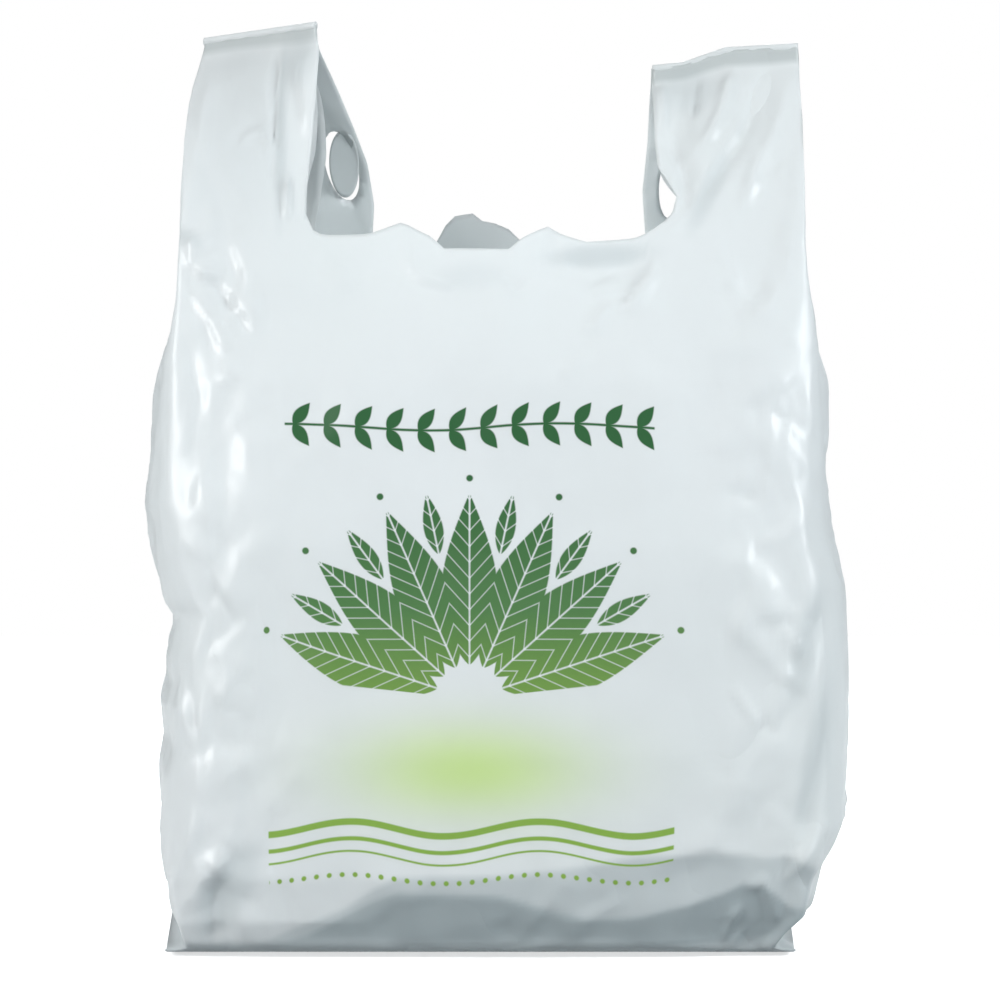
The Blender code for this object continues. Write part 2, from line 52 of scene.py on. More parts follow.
MM = 0.001

# Flat pattern of the film
FLAT_WIDTH = 0.305
GUSSET = 0.089
STRAP = 0.068
MOUTH_CORNER = 0.010
HALF_FLAT = FLAT_WIDTH / 2
HALF_MOUTH = HALF_FLAT - STRAP
QUARTER = HALF_FLAT + GUSSET
ROUND = 4 * QUARTER

# Standing bag
TOP = 0.4580
MOUTH_HEIGHT = 0.3475
STRAP_LENGTH = TOP - MOUTH_HEIGHT
BASE_HALF_DEPTH = 0.742 * GUSSET
BASE_SHIFT = -0.008
PANEL_SHIFT = -0.0024
PANEL_STRETCH = 1.05
PANEL_SWELL = 0.006
EDGE_SWELL = 0.7
SIDE_INSET = 0.13
FLANK = 0.022
FOLD_STEP = 0.0010
FOLD_ROUND = 0.0006
HALF_GAP = 0.00045
BACK_STRAP_REACH = 0.073
LEFT_TURN = 0.62

# Base
BASE_FILM_Z = 0.00055
BASE_EDGE_RISE = 0.0020
BASE_EDGE_POWER = 6
BASE_EDGE_FADE = 0.006
BASE_PLY_GAP = 3 * HALF_GAP
TUCK_HEIGHT = 0.0042
SIDE_TUCK_HEIGHT = 0.024
SIDE_TUCK_POWER = 1.3
SIDE_TUCK_FADE = 0.045

# Distances from the mouth over which the walls draw in to straps
GATHER_BELOW = 0.0575
TUCK_BELOW = 0.0725
TUCK_ABOVE = 0.0075
TURN_FROM = 0.0225

# Seals
FILM_TOP_MARGIN = 0.002
SEAL_BAR_HEIGHT = 0.006
SEAL_CLEAR = 0.0015
SEAL_FOOT = TOP - SEAL_BAR_HEIGHT - SEAL_CLEAR
SEAL_CLOSE = 0.014
SEAL_DEPTH = 2 * HALF_GAP

# Punched holes in the back straps: distance out from the mouth's cut, share of the
# strap's length above the mouth, half width, half height, lean
LEFT_HOLE = (-0.0051, 0.392, 0.0080, 0.0167, math.radians(15))
RIGHT_HOLE = (0.0040, 0.294, 0.0056, 0.0143, 0.0)

# Outline seen from the front: share of the height, distance out from the flat width
LEFT_OUTLINE = (
    (0.009, 0.0067), (0.039, 0.0115), (0.098, 0.0155), (0.150, 0.0168),
    (0.191, 0.0158), (0.221, 0.0138), (0.263, 0.0153), (0.291, 0.0123),
    (0.319, 0.0133), (0.343, 0.0108), (0.360, 0.0098), (0.374, 0.0143),
    (0.395, 0.0173), (0.434, 0.0213), (0.478, 0.0229), (0.543, 0.0208),
    (0.632, 0.0178), (0.708, 0.0138), (0.756, 0.0113), (0.788, 0.0088),
    (0.871, 0.0063), (0.914, 0.0038), (0.940, 0.0013), (0.985, -0.0050),
)
RIGHT_OUTLINE = (
    (0.009, -0.0095), (0.020, -0.0055), (0.043, 0.0055), (0.083, 0.0105),
    (0.106, 0.0155), (0.137, 0.0229), (0.206, 0.0223), (0.271, 0.0229),
    (0.326, 0.0218), (0.391, 0.0208), (0.434, 0.0168), (0.467, 0.0143),
    (0.499, 0.0128), (0.643, 0.0128), (0.686, 0.0118), (0.719, 0.0093),
    (0.762, 0.0068), (0.795, 0.0053), (0.849, 0.0033), (0.893, 0.0018),
    (0.929, -0.0007), (0.975, -0.0022),
)

# Half depth of the walls at the front and at the back: share of the height, share
# of the gusset's ply
FRONT_DEPTH = (
    (0.000, 0.753), (0.013, 0.831), (0.039, 0.899), (0.087, 0.944),
    (0.217, 0.978), (0.434, 0.944), (0.608, 0.809), (0.755, 0.607),
    (0.825, 0.472), (0.890, 0.292), (0.955, 0.101), (1.000, 0.020),
)
BACK_DEPTH = (
    (0.000, 0.753), (0.013, 0.831), (0.039, 0.888), (0.087, 0.921),
    (0.217, 0.955), (0.434, 0.933), (0.608, 0.809), (0.755, 0.629),
    (0.825, 0.494), (0.890, 0.315), (0.955, 0.112), (1.000, 0.020),
)

# Inner edges of the four straps: share of the strap's length, distance out from
# the mouth's cut
FRONT_LEFT_EDGE = (
    (0.00, 0.0085), (0.20, 0.0085), (0.33, 0.0075), (0.56, 0.0051),
    (0.82, 0.0035), (1.00, 0.0055),
)
FRONT_RIGHT_EDGE = (
    (-0.07, -0.0100), (0.02, -0.0097), (0.13, 0.0011), (0.22, 0.0037),
    (0.36, -0.0055), (0.49, -0.0065), (1.00, -0.0068),
)
BACK_LEFT_EDGE = (
    (0.00, -0.0205), (0.22, -0.0218), (0.40, -0.0185), (0.54, -0.0125),
    (0.69, -0.0052), (0.87, 0.0042), (1.00, 0.0055),
)
BACK_RIGHT_EDGE = (
    (0.00, -0.0075), (0.08, -0.0081), (0.31, -0.0101), (0.55, -0.0080),
    (1.00, -0.0068),
)

# Handle tops: share of the strap from its inner edge, height above the highest point
LEFT_TOP = ((0.00, 0.0000), (1.00, -0.0035))
RIGHT_TOP = ((0.00, -0.0195), (0.21, -0.0180), (0.50, -0.0105), (1.00, -0.0085))

# Mouth edge: share of the mouth's half width, height above the straight cut
FRONT_MOUTH = (
    (-0.95, 0.0020), (-0.65, 0.0030), (-0.45, 0.0085), (-0.28, 0.0010),
    (-0.21, -0.0050), (0.17, -0.0050), (0.26, 0.0020), (0.37, 0.0088),
    (0.47, 0.0040), (0.62, -0.0010), (0.95, 0.0010),
)
BACK_MOUTH = (
    (-0.95, 0.0010), (-0.44, 0.0030), (-0.37, 0.0125), (-0.25, 0.0190),
    (-0.10, 0.0205), (0.05, 0.0200), (0.17, 0.0150), (0.25, 0.0070), (0.32, 0.0025),
    (0.95, 0.0010),
)
GUSSET_MOUTH = 0.0010
MOUTH_REACH_DOWN = 0.045
MOUTH_REACH_UP = 0.040
MOUTH_REACH_SIDE = 0.030

# Rounding of the ring's corners along the film: share of the height, width
CORNER_SPREAD = (
    (0.000, 0.0008), (0.026, 0.0030), (0.065, 0.0070), (0.152, 0.0150),
    (0.434, 0.0180), (0.608, 0.0120), (0.738, 0.0050), (0.825, 0.0020),
    (0.912, 0.0008), (1.000, 0.0003),
)

# Dense table that the film is read from
TABLE_COLUMNS = 1932
TABLE_WALL_ROWS = 231
TABLE_BASE_ROWS = 49

# Grid of the film: cells across each part of the pattern, and rows across the base
MIDDLE_CELLS = 12
HOLE_ZONE = 0.030
HOLE_CELLS = 16
SIDE_CELLS = 10
GUSSET_CELLS = 14
CREASE_CELLS = 4
BASE_ROWS = 9
LEVEL_ROWS = ((0.0030, 30), (0.060, 75), (0.285, 28), (MOUTH_HEIGHT, 39))
FOOT_LEVELS = (0.0, 0.0014)

# Punched oval that is still held in the left back strap
HOLE_SNAP = (0.80, 1.22)
HOLE_CLEAR = 0.004
FLAP_SIZE = 0.95
FLAP_SHIFT = (0.0015, 0.0008)
FLAP_TURN = math.radians(-15)
FLAP_LIFT = 0.0006
FLAP_SWING = 0.0008
FLAP_CENTRE = 0.001
FLAP_RINGS = 9
FLAP_CELLS = 48

# Print, in metres of the panel: ink edges, whole cells that keep a fraction's argument
# above zero, leaves and their veins
INK_EDGE = 0.0006
FAN_CELLS = 8.0
ROW_CELLS = 64.0
LEAF_BELLY = 0.8
RIB_HALF = 0.0004
VEIN_SLANT = 1.1
VEIN_STEP = 0.0075
VEIN_SHARE = 0.05
VEIN_PALE = 0.75
FAN_PLACE = (-0.0106, 0.126)
FAN_STEP = math.radians(24)
FAN_RINGS = (
    (0.016, 0.082, 0.0134, 0.0, math.radians(84)),
    (0.070, 0.030, 0.0046, 0.5, math.radians(72)),
)
FAN_DOTS = (0.105, 0.0016, math.radians(84))
FAN_SOFT = 0.01
TWIG_HEIGHT = 0.2555
TWIG_WAVE = (48.0, 0.0016)
TWIG_PITCH = 0.0150
TWIG_HALF = 0.0006
TWIG_LEAN = (0.60, 0.80)
TWIG_START = 0.0052
TWIG_LEAF = (0.0132, 0.0031)
TWIG_REACH = 0.0885
RIBBONS = ((0.0640, 0.0016), (0.0560, 0.0010), (0.0500, 0.0005))
RIBBON_WAVE = (70.0, 0.0035)
RIBBON_REACH = 0.097
DOT_ROW = (0.0400, 0.0062, 0.0012)
DOT_SWAY = 0.6
GLOW_HEIGHT = 0.092
GLOW_SIZE = (0.052, 0.021)
GLOW_SHARE = 0.85
INK_SPAN = (0.100, 0.135)
FRONT_SOFT = 0.002

# Pressed plies at the handle tops and the painted shade over them, by the height on the pattern
TOP_SHADE_FROM = TOP - 0.004
TOP_SHADE_SWAY = 0.011
TOP_SHADE_SOFT = 0.004
FOOT_SEAL_HALF = 0.0010
FOOT_SEAL_ROWS = 61
FOOT_SEAL_SWAY = 0.0004
FOOT_SEAL_WAVE = 90
SEAL_ROWS = 49
SEAL_CELLS = 16
SEAL_SWAY = 0.15
SEAL_WAVES = (23, 9)

# Noise of the film's clouds and of its ridges: scale, stretch, detail. Where the cloud
# lets ridges show, where the panel does, and their strength elsewhere on it and off it
CLOUD_NOISE = (9.0, (1.0, 1.0, 0.6), 1.0)
ROUGH_SWAY = 0.16
RIDGE_NOISE = (30.0, (1.0, 1.0, 0.55), 1.0)
RIDGE_PATCHES = (0.52, 0.20)
RIDGE_EDGE = (0.105, 0.045)
RIDGE_FOOT = (0.045, 0.050)
RIDGE_REST = 0.12
RIDGE_PLAIN = 0.5
FILM_IOR = 1.5

# Lamps, as place, size and colour, and the camera, in the photograph's place and angle
LAMP_AIM = (0.0, 0.0, 0.25)
KEY_LAMP = ((-1.60, -1.50, 0.90), (0.8, 0.8), (1.0, 1.0, 1.0))
SIDE_LAMP = ((1.70, -1.10, 0.95), (0.7, 0.8), (0.95, 0.98, 1.0))
BACK_LAMP = ((0.3, 1.9, 1.1), (1.4, 1.0), (0.93, 0.97, 1.0))
CAMERA_PLACE = (0.0015, -1.80, 0.2205)
CAMERA_LENS = 129.3
SENSOR_WIDTH = 36.0

# Floor: roughness and gloss of its bounce, and its colour where it is seen
FLOOR_ROUGHNESS = 0.9
FLOOR_GLOSS = 0.1
FLOOR_WHITE = (0.95, 0.95, 0.95, 1.0)

# Creases of the film, in millimetres: a broken line of (x, z), depth inwards, and the
# width of the slope on the left and on the right of the line as it runs
FRONT_CREASES = (
    (((76.0, 333.6), (61.5, 311.7)), -1.4, 9.0, 3.0),
    (((57.5, 329.8), (46.6, 322.2)), -1.0, 7.0, 3.0),
    (((55.1, 317.4), (43.2, 302.7)), -1.1, 8.0, 3.0),
    (((43.2, 291.8), (30.9, 279.4)), -0.9, 7.0, 3.0),
    (((30.0, 338.0), (50.0, 331.0), (73.0, 336.0)), 1.2, 10.0, 11.0),
    (((25.6, 355.0), (25.6, 329.0)), 1.1, 6.0, 1.8),
    (((2.9, 331.0), (10.5, 323.0), (15.7, 327.0)), 0.8, 2.5, 5.0),
    (((-44.7, 347.0), (-44.2, 334.5), (-37.5, 327.4), (-23.8, 323.6), (-16.0, 332.0)), -0.9, 14.0, 2.2),
    (((-88.0, 342.0), (-70.0, 322.0)), -0.8, 9.0, 7.0),
    (((-150.0, 352.0), (-148.0, 336.0), (-143.5, 331.6), (-134.0, 327.0)), -1.6, 12.0, 4.0),
    (((-141.0, 331.0), (-131.0, 318.0), (-118.0, 300.0)), 1.0, 4.0, 6.0),
    (((-147.0, 322.0), (-138.0, 308.0), (-130.0, 292.0)), -1.0, 5.0, 4.0),
    (((-151.0, 300.0), (-144.0, 270.0), (-147.0, 240.0)), 1.0, 7.0, 4.0),
    (((-156.8, 159.7), (-153.5, 129.8), (-149.2, 111.2), (-143.0, 101.8)), -1.6, 5.0, 6.0),
    (((-151.0, 154.0), (-143.0, 101.8)), 1.2, 4.0, 4.0),
    (((-139.0, 141.0), (-143.0, 101.8)), -0.9, 7.0, 4.0),
    (((-141.6, 75.1), (-145.4, 62.8), (-153.5, 38.5), (-159.6, 26.7)), -1.7, 6.0, 5.0),
    (((-126.8, 50.9), (-137.8, 43.0), (-151.8, 22.9)), -1.9, 9.0, 9.0),
    (((-137.8, 40.0), (-135.4, 6.2)), 1.8, 9.0, 8.0),
    (((-112.0, 70.0), (-90.0, 96.0)), -0.8, 10.0, 12.0),
    (((111.2, 132.1), (125.8, 111.2)), -0.9, 4.0, 3.0),
    (((125.8, 114.5), (134.7, 109.3), (138.5, 121.0)), 1.2, 4.0, 5.0),
    (((158.9, 181.8), (153.8, 162.7), (146.2, 145.0), (138.5, 115.7)), 1.7, 9.0, 7.0),
    (((165.2, 148.8), (161.4, 126.0), (155.0, 94.1), (147.4, 66.0), (145.9, 60.4)), 1.9, 7.0, 6.0),
    (((139.0, 165.0), (153.0, 170.0)), -1.1, 4.0, 4.0),
    (((136.0, 159.6), (147.2, 147.1)), -1.2, 3.0, 4.5),
    (((142.0, 157.0), (141.5, 139.0)), 0.9, 3.0, 3.0),
    (((131.0, 264.0), (148.0, 253.0), (163.0, 236.0)), 1.3, 7.0, 6.0),
    (((137.0, 252.0), (158.0, 226.0)), -1.1, 6.0, 5.0),
    (((148.0, 275.0), (156.0, 252.0)), -0.9, 5.0, 5.0),
    (((109.0, 225.0), (126.0, 220.5)), 0.9, 4.0, 5.0),
    (((150.0, 216.0), (139.0, 204.0), (124.0, 198.0)), -0.9, 5.0, 6.0),
    (((138.5, 51.0), (150.0, 48.2), (160.0, 41.0)), -1.7, 12.0, 9.0),
    (((119.0, 33.0), (127.1, 38.0), (130.9, 26.7), (138.0, 12.5)), -1.3, 5.0, 4.0),
    (((116.5, 26.0), (110.5, 13.8), (109.9, 6.0)), -1.0, 3.0, 3.0),
    (((147.4, 36.3), (149.4, 22.7), (153.5, 17.5)), -1.1, 3.5, 4.5),
    (((137.3, 50.5), (138.2, 10.4)), 1.3, 9.0, 4.0),
    (((70.0, 46.0), (100.0, 55.0), (122.0, 52.0)), -0.8, 12.0, 9.0),
    (((8.0, 4.0), (20.0, 22.0), (31.0, 38.0)), -1.0, 8.0, 5.0),
    (((36.0, 6.0), (42.0, 20.0), (62.0, 30.0)), -0.8, 6.0, 6.0),
    (((-110.3, 455.0), (-110.3, 372.0)), 1.3, 5.0, 1.6),
    (((-103.2, 380.0), (-102.4, 356.0)), -1.3, 3.0, 2.6),
    (((-126.4, 394.0), (-123.5, 400.3), (-117.1, 402.3), (-112.2, 398.4), (-109.0, 391.0), (-108.6, 380.7)),
     -0.9, 3.0, 4.0),
    (((-143.0, 440.0), (-147.0, 413.0), (-149.6, 381.0), (-153.9, 350.8)), -1.2, 9.0, 6.0),
    (((-93.0, 450.0), (-96.0, 428.0), (-91.0, 398.0)), -0.8, 5.0, 5.0),
    (((136.2, 438.0), (121.5, 401.8), (97.0, 363.0)), 1.3, 7.0, 5.0),
    (((119.0, 438.0), (110.3, 411.6), (99.9, 388.0)), -1.3, 6.0, 4.0),
    (((147.0, 431.0), (136.2, 401.8), (127.4, 384.6), (119.5, 361.5)), -1.2, 6.0, 6.0),
    (((106.9, 399.0), (99.5, 390.0)), 0.9, 2.5, 2.5),
    (((100.0, 433.0), (97.5, 409.0)), 0.9, 3.0, 3.0),
    (((138.0, 377.7), (140.6, 384.6), (145.0, 385.0), (147.0, 377.7)), -0.7, 3.0, 3.0),
    (((82.6, 437.0), (82.2, 400.0)), -1.2, 2.6, 2.6),
    (((84.0, 400.0), (92.0, 383.0), (91.0, 362.0)), 1.0, 5.0, 4.0),
    (((148.0, 362.0), (140.0, 330.0), (128.0, 305.0)), -0.7, 9.0, 9.0),
)
BACK_CREASES = (
    (((-84.0, 344.0), (-62.0, 314.0), (-40.0, 296.0)), -1.6, 6.0, 8.0),
    (((-88.0, 330.0), (-78.0, 300.0)), 1.2, 6.0, 5.0),
    (((84.0, 342.0), (66.0, 312.0), (48.0, 300.0)), -1.5, 8.0, 6.0),
    (((90.0, 332.0), (80.0, 298.0)), 1.1, 5.0, 6.0),
    (((-152.0, 20.0), (-128.0, 62.0), (-112.0, 92.0)), -2.0, 8.0, 9.0),
    (((-140.0, 8.0), (-118.0, 32.0)), 1.6, 7.0, 7.0),
    (((150.0, 22.0), (128.0, 58.0), (118.0, 96.0)), -2.0, 9.0, 8.0),
    (((138.0, 8.0), (112.0, 36.0)), 1.6, 7.0, 7.0),
    (((-154.0, 300.0), (-136.0, 276.0), (-122.0, 240.0)), 1.3, 8.0, 7.0),
    (((152.0, 290.0), (138.0, 256.0), (120.0, 236.0)), 1.3, 7.0, 8.0),
    (((-150.0, 190.0), (-132.0, 170.0), (-140.0, 138.0)), -1.2, 6.0, 7.0),
    (((150.0, 200.0), (134.0, 176.0), (146.0, 140.0)), 1.2, 6.0, 7.0),
    (((-60.0, 8.0), (-44.0, 30.0)), -1.0, 8.0, 7.0),
    (((30.0, 6.0), (52.0, 34.0)), -1.0, 7.0, 8.0),
)

# Lower front, which slopes back to the base: x, and the heights where the film first
# turns under and where it turns under more, in millimetres
UNDERTURN_TOP = (
    (-150.0, 4.0), (-109.7, 9.6), (-90.7, 18.0), (-73.6, 25.0), (-58.0, 36.0),
    (-48.5, 41.0), (-31.4, 42.0), (1.4, 42.0), (30.0, 45.0), (68.0, 51.0),
    (106.0, 52.0), (128.0, 50.0), (139.0, 50.5), (158.7, 42.0),
)
UNDERTURN_LOW = (
    (-150.0, 3.0), (-110.0, 6.0), (-90.0, 12.0), (-60.0, 29.0), (-48.0, 34.0),
    (0.0, 33.0), (22.0, 26.0), (44.0, 20.0), (69.4, 22.0), (91.7, 27.0),
    (107.4, 32.0), (118.0, 37.0), (128.0, 36.0), (140.0, 26.0), (160.0, 24.0),
)
UNDERTURN_SLOPE = (0.11, 0.32)
PANEL_DEPTH = 0.0845
CREASE_POWER = 1.15
CREASE_TAPER = (0.22, 0.7)

# Straight-sided facets: mean size, slope, stretch of the pattern across and up, seed
BROAD_FACETS = (0.040, 0.060, (1.0, 0.70), 5)
MIDDLE_FACETS = (0.020, 0.300, (1.0, 0.62), 17)
FINE_FACETS = (0.0110, 0.340, (1.0, 0.75), 29)
STREAK_FACETS = (0.018, 0.220, (1.0, 0.30), 41)
CREASE_RELIEF = 1.6
CREASE_GAIN = 0.55
CREASE_GAIN_BAND = (0.25, 0.30)
CREASE_RIM_LOSS = 0.6
CREASES_TO = (0.022, 0.008)

# Where creases and the turned foot start: heights on the wall, and distances from the
# gusset's middle as shares of its ply
WALL_BAND = (0.0005, 0.012)
PANEL_BAND = (0.84, 0.99)
TURN_BAND = (0.99, 1.12)

# Painted shade, a greyer film colour that stands for shadow: shares in the two zones of the foot, at the
# foot of the other walls, and in patches of (x, z, half width, half height, lean in degrees, share), in
# millimetres
FOOT_SHADE_SHARES = (0.48, 0.52)
WALL_FOOT_SHADE = (0.040, 0.50)
SHADE_SOFT = 3.0
SHADE_PATCHES = (
    (50.0, 340.0, 26.0, 5.0, 2.0, 0.30),
    (-12.0, 329.0, 16.0, 7.0, 0.0, 0.10),
    (-126.0, 410.0, 22.0, 60.0, 4.0, 0.14),
    (-98.0, 440.0, 9.0, 16.0, 0.0, 0.24),
    (-106.0, 400.0, 3.0, 44.0, 0.0, 0.30),
    (95.0, 425.0, 14.0, 12.0, 20.0, 0.22),
    (104.0, 372.0, 5.0, 22.0, -25.0, 0.26),
    (-151.0, 348.0, 8.0, 4.0, -30.0, 0.24),
    (96.0, 14.0, 34.0, 9.0, 8.0, 0.45),
    (-128.0, 34.0, 10.0, 26.0, -30.0, 0.40),
    (148.0, 150.0, 6.0, 26.0, -12.0, 0.30),
    (152.0, 95.0, 6.0, 34.0, -10.0, 0.30),
)
STREAK_LEAN = math.radians(24)

# Where the facets are strong: distance from the centre line, height, and reach about
# the mouth. Then the strength on the left, the back and the left strap's streaks
EDGE_BAND = (0.082, 0.132)
FOOT_BAND = (0.015, 0.085)
STRAP_BAND = 0.020
LEFT_SHARE = 0.70
BACK_SHARE = 0.85
LEFT_STREAKS = 0.55

# Strength of the middle and the fine facets: in the panel's middle, more at its edges,
# more at the foot, on the gussets, and what the straps take away
MIDDLE_SHARES = (0.10, 0.75, 0.15, 0.45, 0.45)
FINE_SHARES = (0.03, 0.62, 0.15, 0.35, 0.50)

# Where the facets fade: half width and half height of the back tab, reach and share
# at the outline's folds, height above the ground, and two distances below the top
TAB_CALM = (0.032, 0.035)
TAB_RISE = 0.010
RIM_CALM = 0.018
RIM_LOSS = 0.92
FACETS_FROM = 0.014
FACETS_TO = (0.030, 0.006)
CRUMPLE_LIMIT = 0.0025


def along(table, at):
    """The table's second column at the given places, straight between its points."""
    keys, values = np.array(table).T
    return np.interp(at, keys, values)


def smooth_step(at, low, high):
    share = np.clip((at - low) / (high - low), 0, 1)
    return share * share * (3 - 2 * share)


def flat_side(s):
    """The side (-1 left, 1 right), the distance from the centre line on the film
    lying flat with tucked gussets, and whether the point is on the back half."""
    turn = np.mod(s, ROUND)
    side = np.where(turn > 2 * QUARTER, -1.0, 1.0)
    turn = np.where(turn > 2 * QUARTER, ROUND - turn, turn)
    back = turn > QUARTER
    turn = np.where(back, 2 * QUARTER - turn, turn)
    inner = np.where(turn > HALF_FLAT, 2 * HALF_FLAT - turn, turn)
    return side, inner, back


def gusset_distance(s):
    """Distance along the film from the nearer gusset's middle crease."""
    return np.abs(np.mod(s, 2 * QUARTER) - QUARTER)


def strap_height(side, inner, level):
    """Height above ground of a level of the pattern, which the straps stretch."""
    reach = np.clip((inner - HALF_MOUTH) / STRAP, 0, 1)
    top = np.where(side < 0, along(LEFT_TOP, reach), along(RIGHT_TOP, reach))
    return level + top * np.clip((level - MOUTH_HEIGHT) / STRAP_LENGTH, 0, 1)


def gathered(level):
    """How far the walls have drawn in to straps at a level, from 0 to 1."""
    return smooth_step(level, MOUTH_HEIGHT - GATHER_BELOW, MOUTH_HEIGHT)


def panel_depths(level):
    """Half depths of the front and back walls at a level, and the panels' swell."""
    closed = smooth_step(level, SEAL_FOOT - SEAL_CLOSE, SEAL_FOOT)
    depths = [GUSSET * along(table, level / TOP) for table in (FRONT_DEPTH, BACK_DEPTH)]
    front, back = (depth + (SEAL_DEPTH - depth) * closed for depth in depths)
    return front, back, PANEL_SWELL * (1 - gathered(level))


def half_ring(side, level):
    """Corner points of one half of the level ring: pattern place, x, y, height."""
    outline, front_edge, back_edge = (
        (LEFT_OUTLINE, FRONT_LEFT_EDGE, BACK_LEFT_EDGE) if side < 0
        else (RIGHT_OUTLINE, FRONT_RIGHT_EDGE, BACK_RIGHT_EDGE)
    )
    height = float(strap_height(side, HALF_FLAT - STRAP / 2, level))
    rise = (height - MOUTH_HEIGHT) / STRAP_LENGTH
    front, back, swell = panel_depths(level)
    strap = gathered(level)
    tucked = smooth_step(level, MOUTH_HEIGHT - TUCK_BELOW, MOUTH_HEIGHT + TUCK_ABOVE)
    turn = smooth_step(level, MOUTH_HEIGHT + TURN_FROM, TOP) * (LEFT_TURN if side < 0 else 0)
    outer = side * (HALF_FLAT + float(along(outline, height / TOP)))
    front_x = outer - side * SIDE_INSET * front
    panel_in = PANEL_SHIFT + side * HALF_MOUTH * PANEL_STRETCH
    front_in = panel_in + (side * (HALF_MOUTH + along(front_edge, rise)) - panel_in) * strap
    strap_in = side * (HALF_MOUTH + along(back_edge, rise))
    back_in = panel_in + (strap_in - panel_in) * strap
    back_x = outer - side * SIDE_INSET * back
    strap_out = strap_in + side * min(abs(outer - strap_in), BACK_STRAP_REACH)
    back_x += (strap_out - back_x) * strap
    middle = (front_x + back_x) / 2
    half = math.hypot((front_x - back_x) / 2, (front + back) / 2)
    reach = math.sqrt(max(GUSSET ** 2 - half ** 2, 0)) * abs(front_x - front_in) / STRAP
    gusset_x = outer + (middle - side * reach - outer) * tucked
    gusset_y = (back - front) / 2
    share = FLANK / GUSSET
    flank_front = front_x + (gusset_x - front_x) * share
    flank_back = back_x + (gusset_x - back_x) * share
    flank_back += (outer - flank_back) * (1 - tucked)
    cut = STRAP / GUSSET
    cut_front = front_x + (gusset_x - front_x) * cut
    cut_back = back_x + (gusset_x - back_x) * cut
    front_half = [
        (HALF_MOUTH, front_in, -front - HALF_GAP - swell * EDGE_SWELL),
        (HALF_FLAT - FOLD_STEP, front_x, -front - HALF_GAP),
        (HALF_FLAT, front_x + side * FOLD_ROUND, -front),
        (HALF_FLAT + FOLD_STEP, front_x, -front + HALF_GAP),
        (HALF_FLAT + FLANK, flank_front, min(-front * (1 - share), -HALF_GAP)),
        (HALF_FLAT + STRAP, cut_front, min(-front + (gusset_y + front) * cut, -HALF_GAP)),
        (QUARTER, gusset_x, gusset_y),
    ]
    back_half = [
        (HALF_FLAT + STRAP, cut_back, max(back + (gusset_y - back) * cut, HALF_GAP)),
        (HALF_FLAT + FLANK, flank_back, max(back * (1 - share), HALF_GAP)),
        (HALF_FLAT + FOLD_STEP, back_x, back - HALF_GAP),
        (HALF_FLAT, back_x + side * FOLD_ROUND, back),
        (HALF_FLAT - FOLD_STEP, back_x, back + HALF_GAP),
        (HALF_MOUTH, back_in, back + HALF_GAP + swell * EDGE_SWELL),
    ]
    points = front_half + [(2 * QUARTER - s, x, y) for s, x, y in back_half]
    pivot = (front_in + front_x) / 2
    return [(s, x, y + turn * side * (x - pivot), 0.0) for s, x, y in points]


def wall_ring(level):
    """The closed ring of the walls at one level, as points evenly along the film."""
    front, back, swell = panel_depths(level)
    centre = PANEL_SHIFT + (BASE_SHIFT - PANEL_SHIFT) * gathered(level)
    right = half_ring(1, level)
    left = [(ROUND - s, x, y, z) for s, x, y, z in reversed(half_ring(-1, level))]
    ring = [(0.0, centre, -front - HALF_GAP - swell, 0.0)] + right
    ring += [(2 * QUARTER, centre, back + HALF_GAP + swell, 0.0)] + left
    return spread(ring, along(CORNER_SPREAD, level / TOP))


def base_ring(share):
    """The closed ring of the base, from the foot seal (0) to the base edge (1)."""
    depth = BASE_HALF_DEPTH * share
    flat = BASE_FILM_Z + BASE_EDGE_RISE * share ** BASE_EDGE_POWER
    tuck = HALF_FLAT - GUSSET * (1 - share)
    crease = flat + BASE_PLY_GAP + TUCK_HEIGHT * math.sin(math.pi * share)
    ridge = flat + BASE_PLY_GAP + SIDE_TUCK_HEIGHT * share ** SIDE_TUCK_POWER
    diagonal = HALF_FLAT + max(GUSSET * (1 - share), 2 * FOLD_STEP)
    ring = []
    for side in (1, -1):
        half = [
            (HALF_FLAT - FOLD_STEP, side * (HALF_FLAT - FOLD_STEP), -depth, flat),
            (HALF_FLAT, side * HALF_FLAT, -depth, flat + BASE_PLY_GAP / 2),
            (HALF_FLAT + FOLD_STEP, side * (HALF_FLAT - FOLD_STEP), -depth, flat + BASE_PLY_GAP),
            (diagonal, side * tuck, -depth, crease),
        ]
        mirrored = [(2 * QUARTER - s, x, -y, z) for s, x, y, z in reversed(half)]
        if share < 1:
            half.append((QUARTER, side * tuck, 0.0, ridge))
        else:
            half[3] = (QUARTER, side * tuck, 0.0, ridge)
            mirrored = mirrored[1:]
        half = half + mirrored
        if side > 0:
            ring = [(0.0, 0.0, -depth, flat)] + half + [(2 * QUARTER, 0.0, depth, flat)]
        else:
            ring += [(ROUND - s, x, y, z) for s, x, y, z in reversed(half)]
    ring = [(s, x + BASE_SHIFT, y, z) for s, x, y, z in ring]
    return spread(ring, 0.0)


def spread(ring, width):
    """The ring read evenly along the film, its corners rounded over the width."""
    table = np.array(ring)
    at = np.arange(TABLE_COLUMNS) * (ROUND / TABLE_COLUMNS)
    points = np.stack([np.interp(at, table[:, 0], table[:, k], period=ROUND) for k in (1, 2, 3)], 1)
    if width:
        wave = np.fft.rfftfreq(TABLE_COLUMNS, ROUND / TABLE_COLUMNS)
        kernel = np.exp(-2 * (math.pi * wave * width) ** 2)[:, None]
        points = np.fft.irfft(np.fft.rfft(points, axis=0) * kernel, TABLE_COLUMNS, axis=0)
    return points


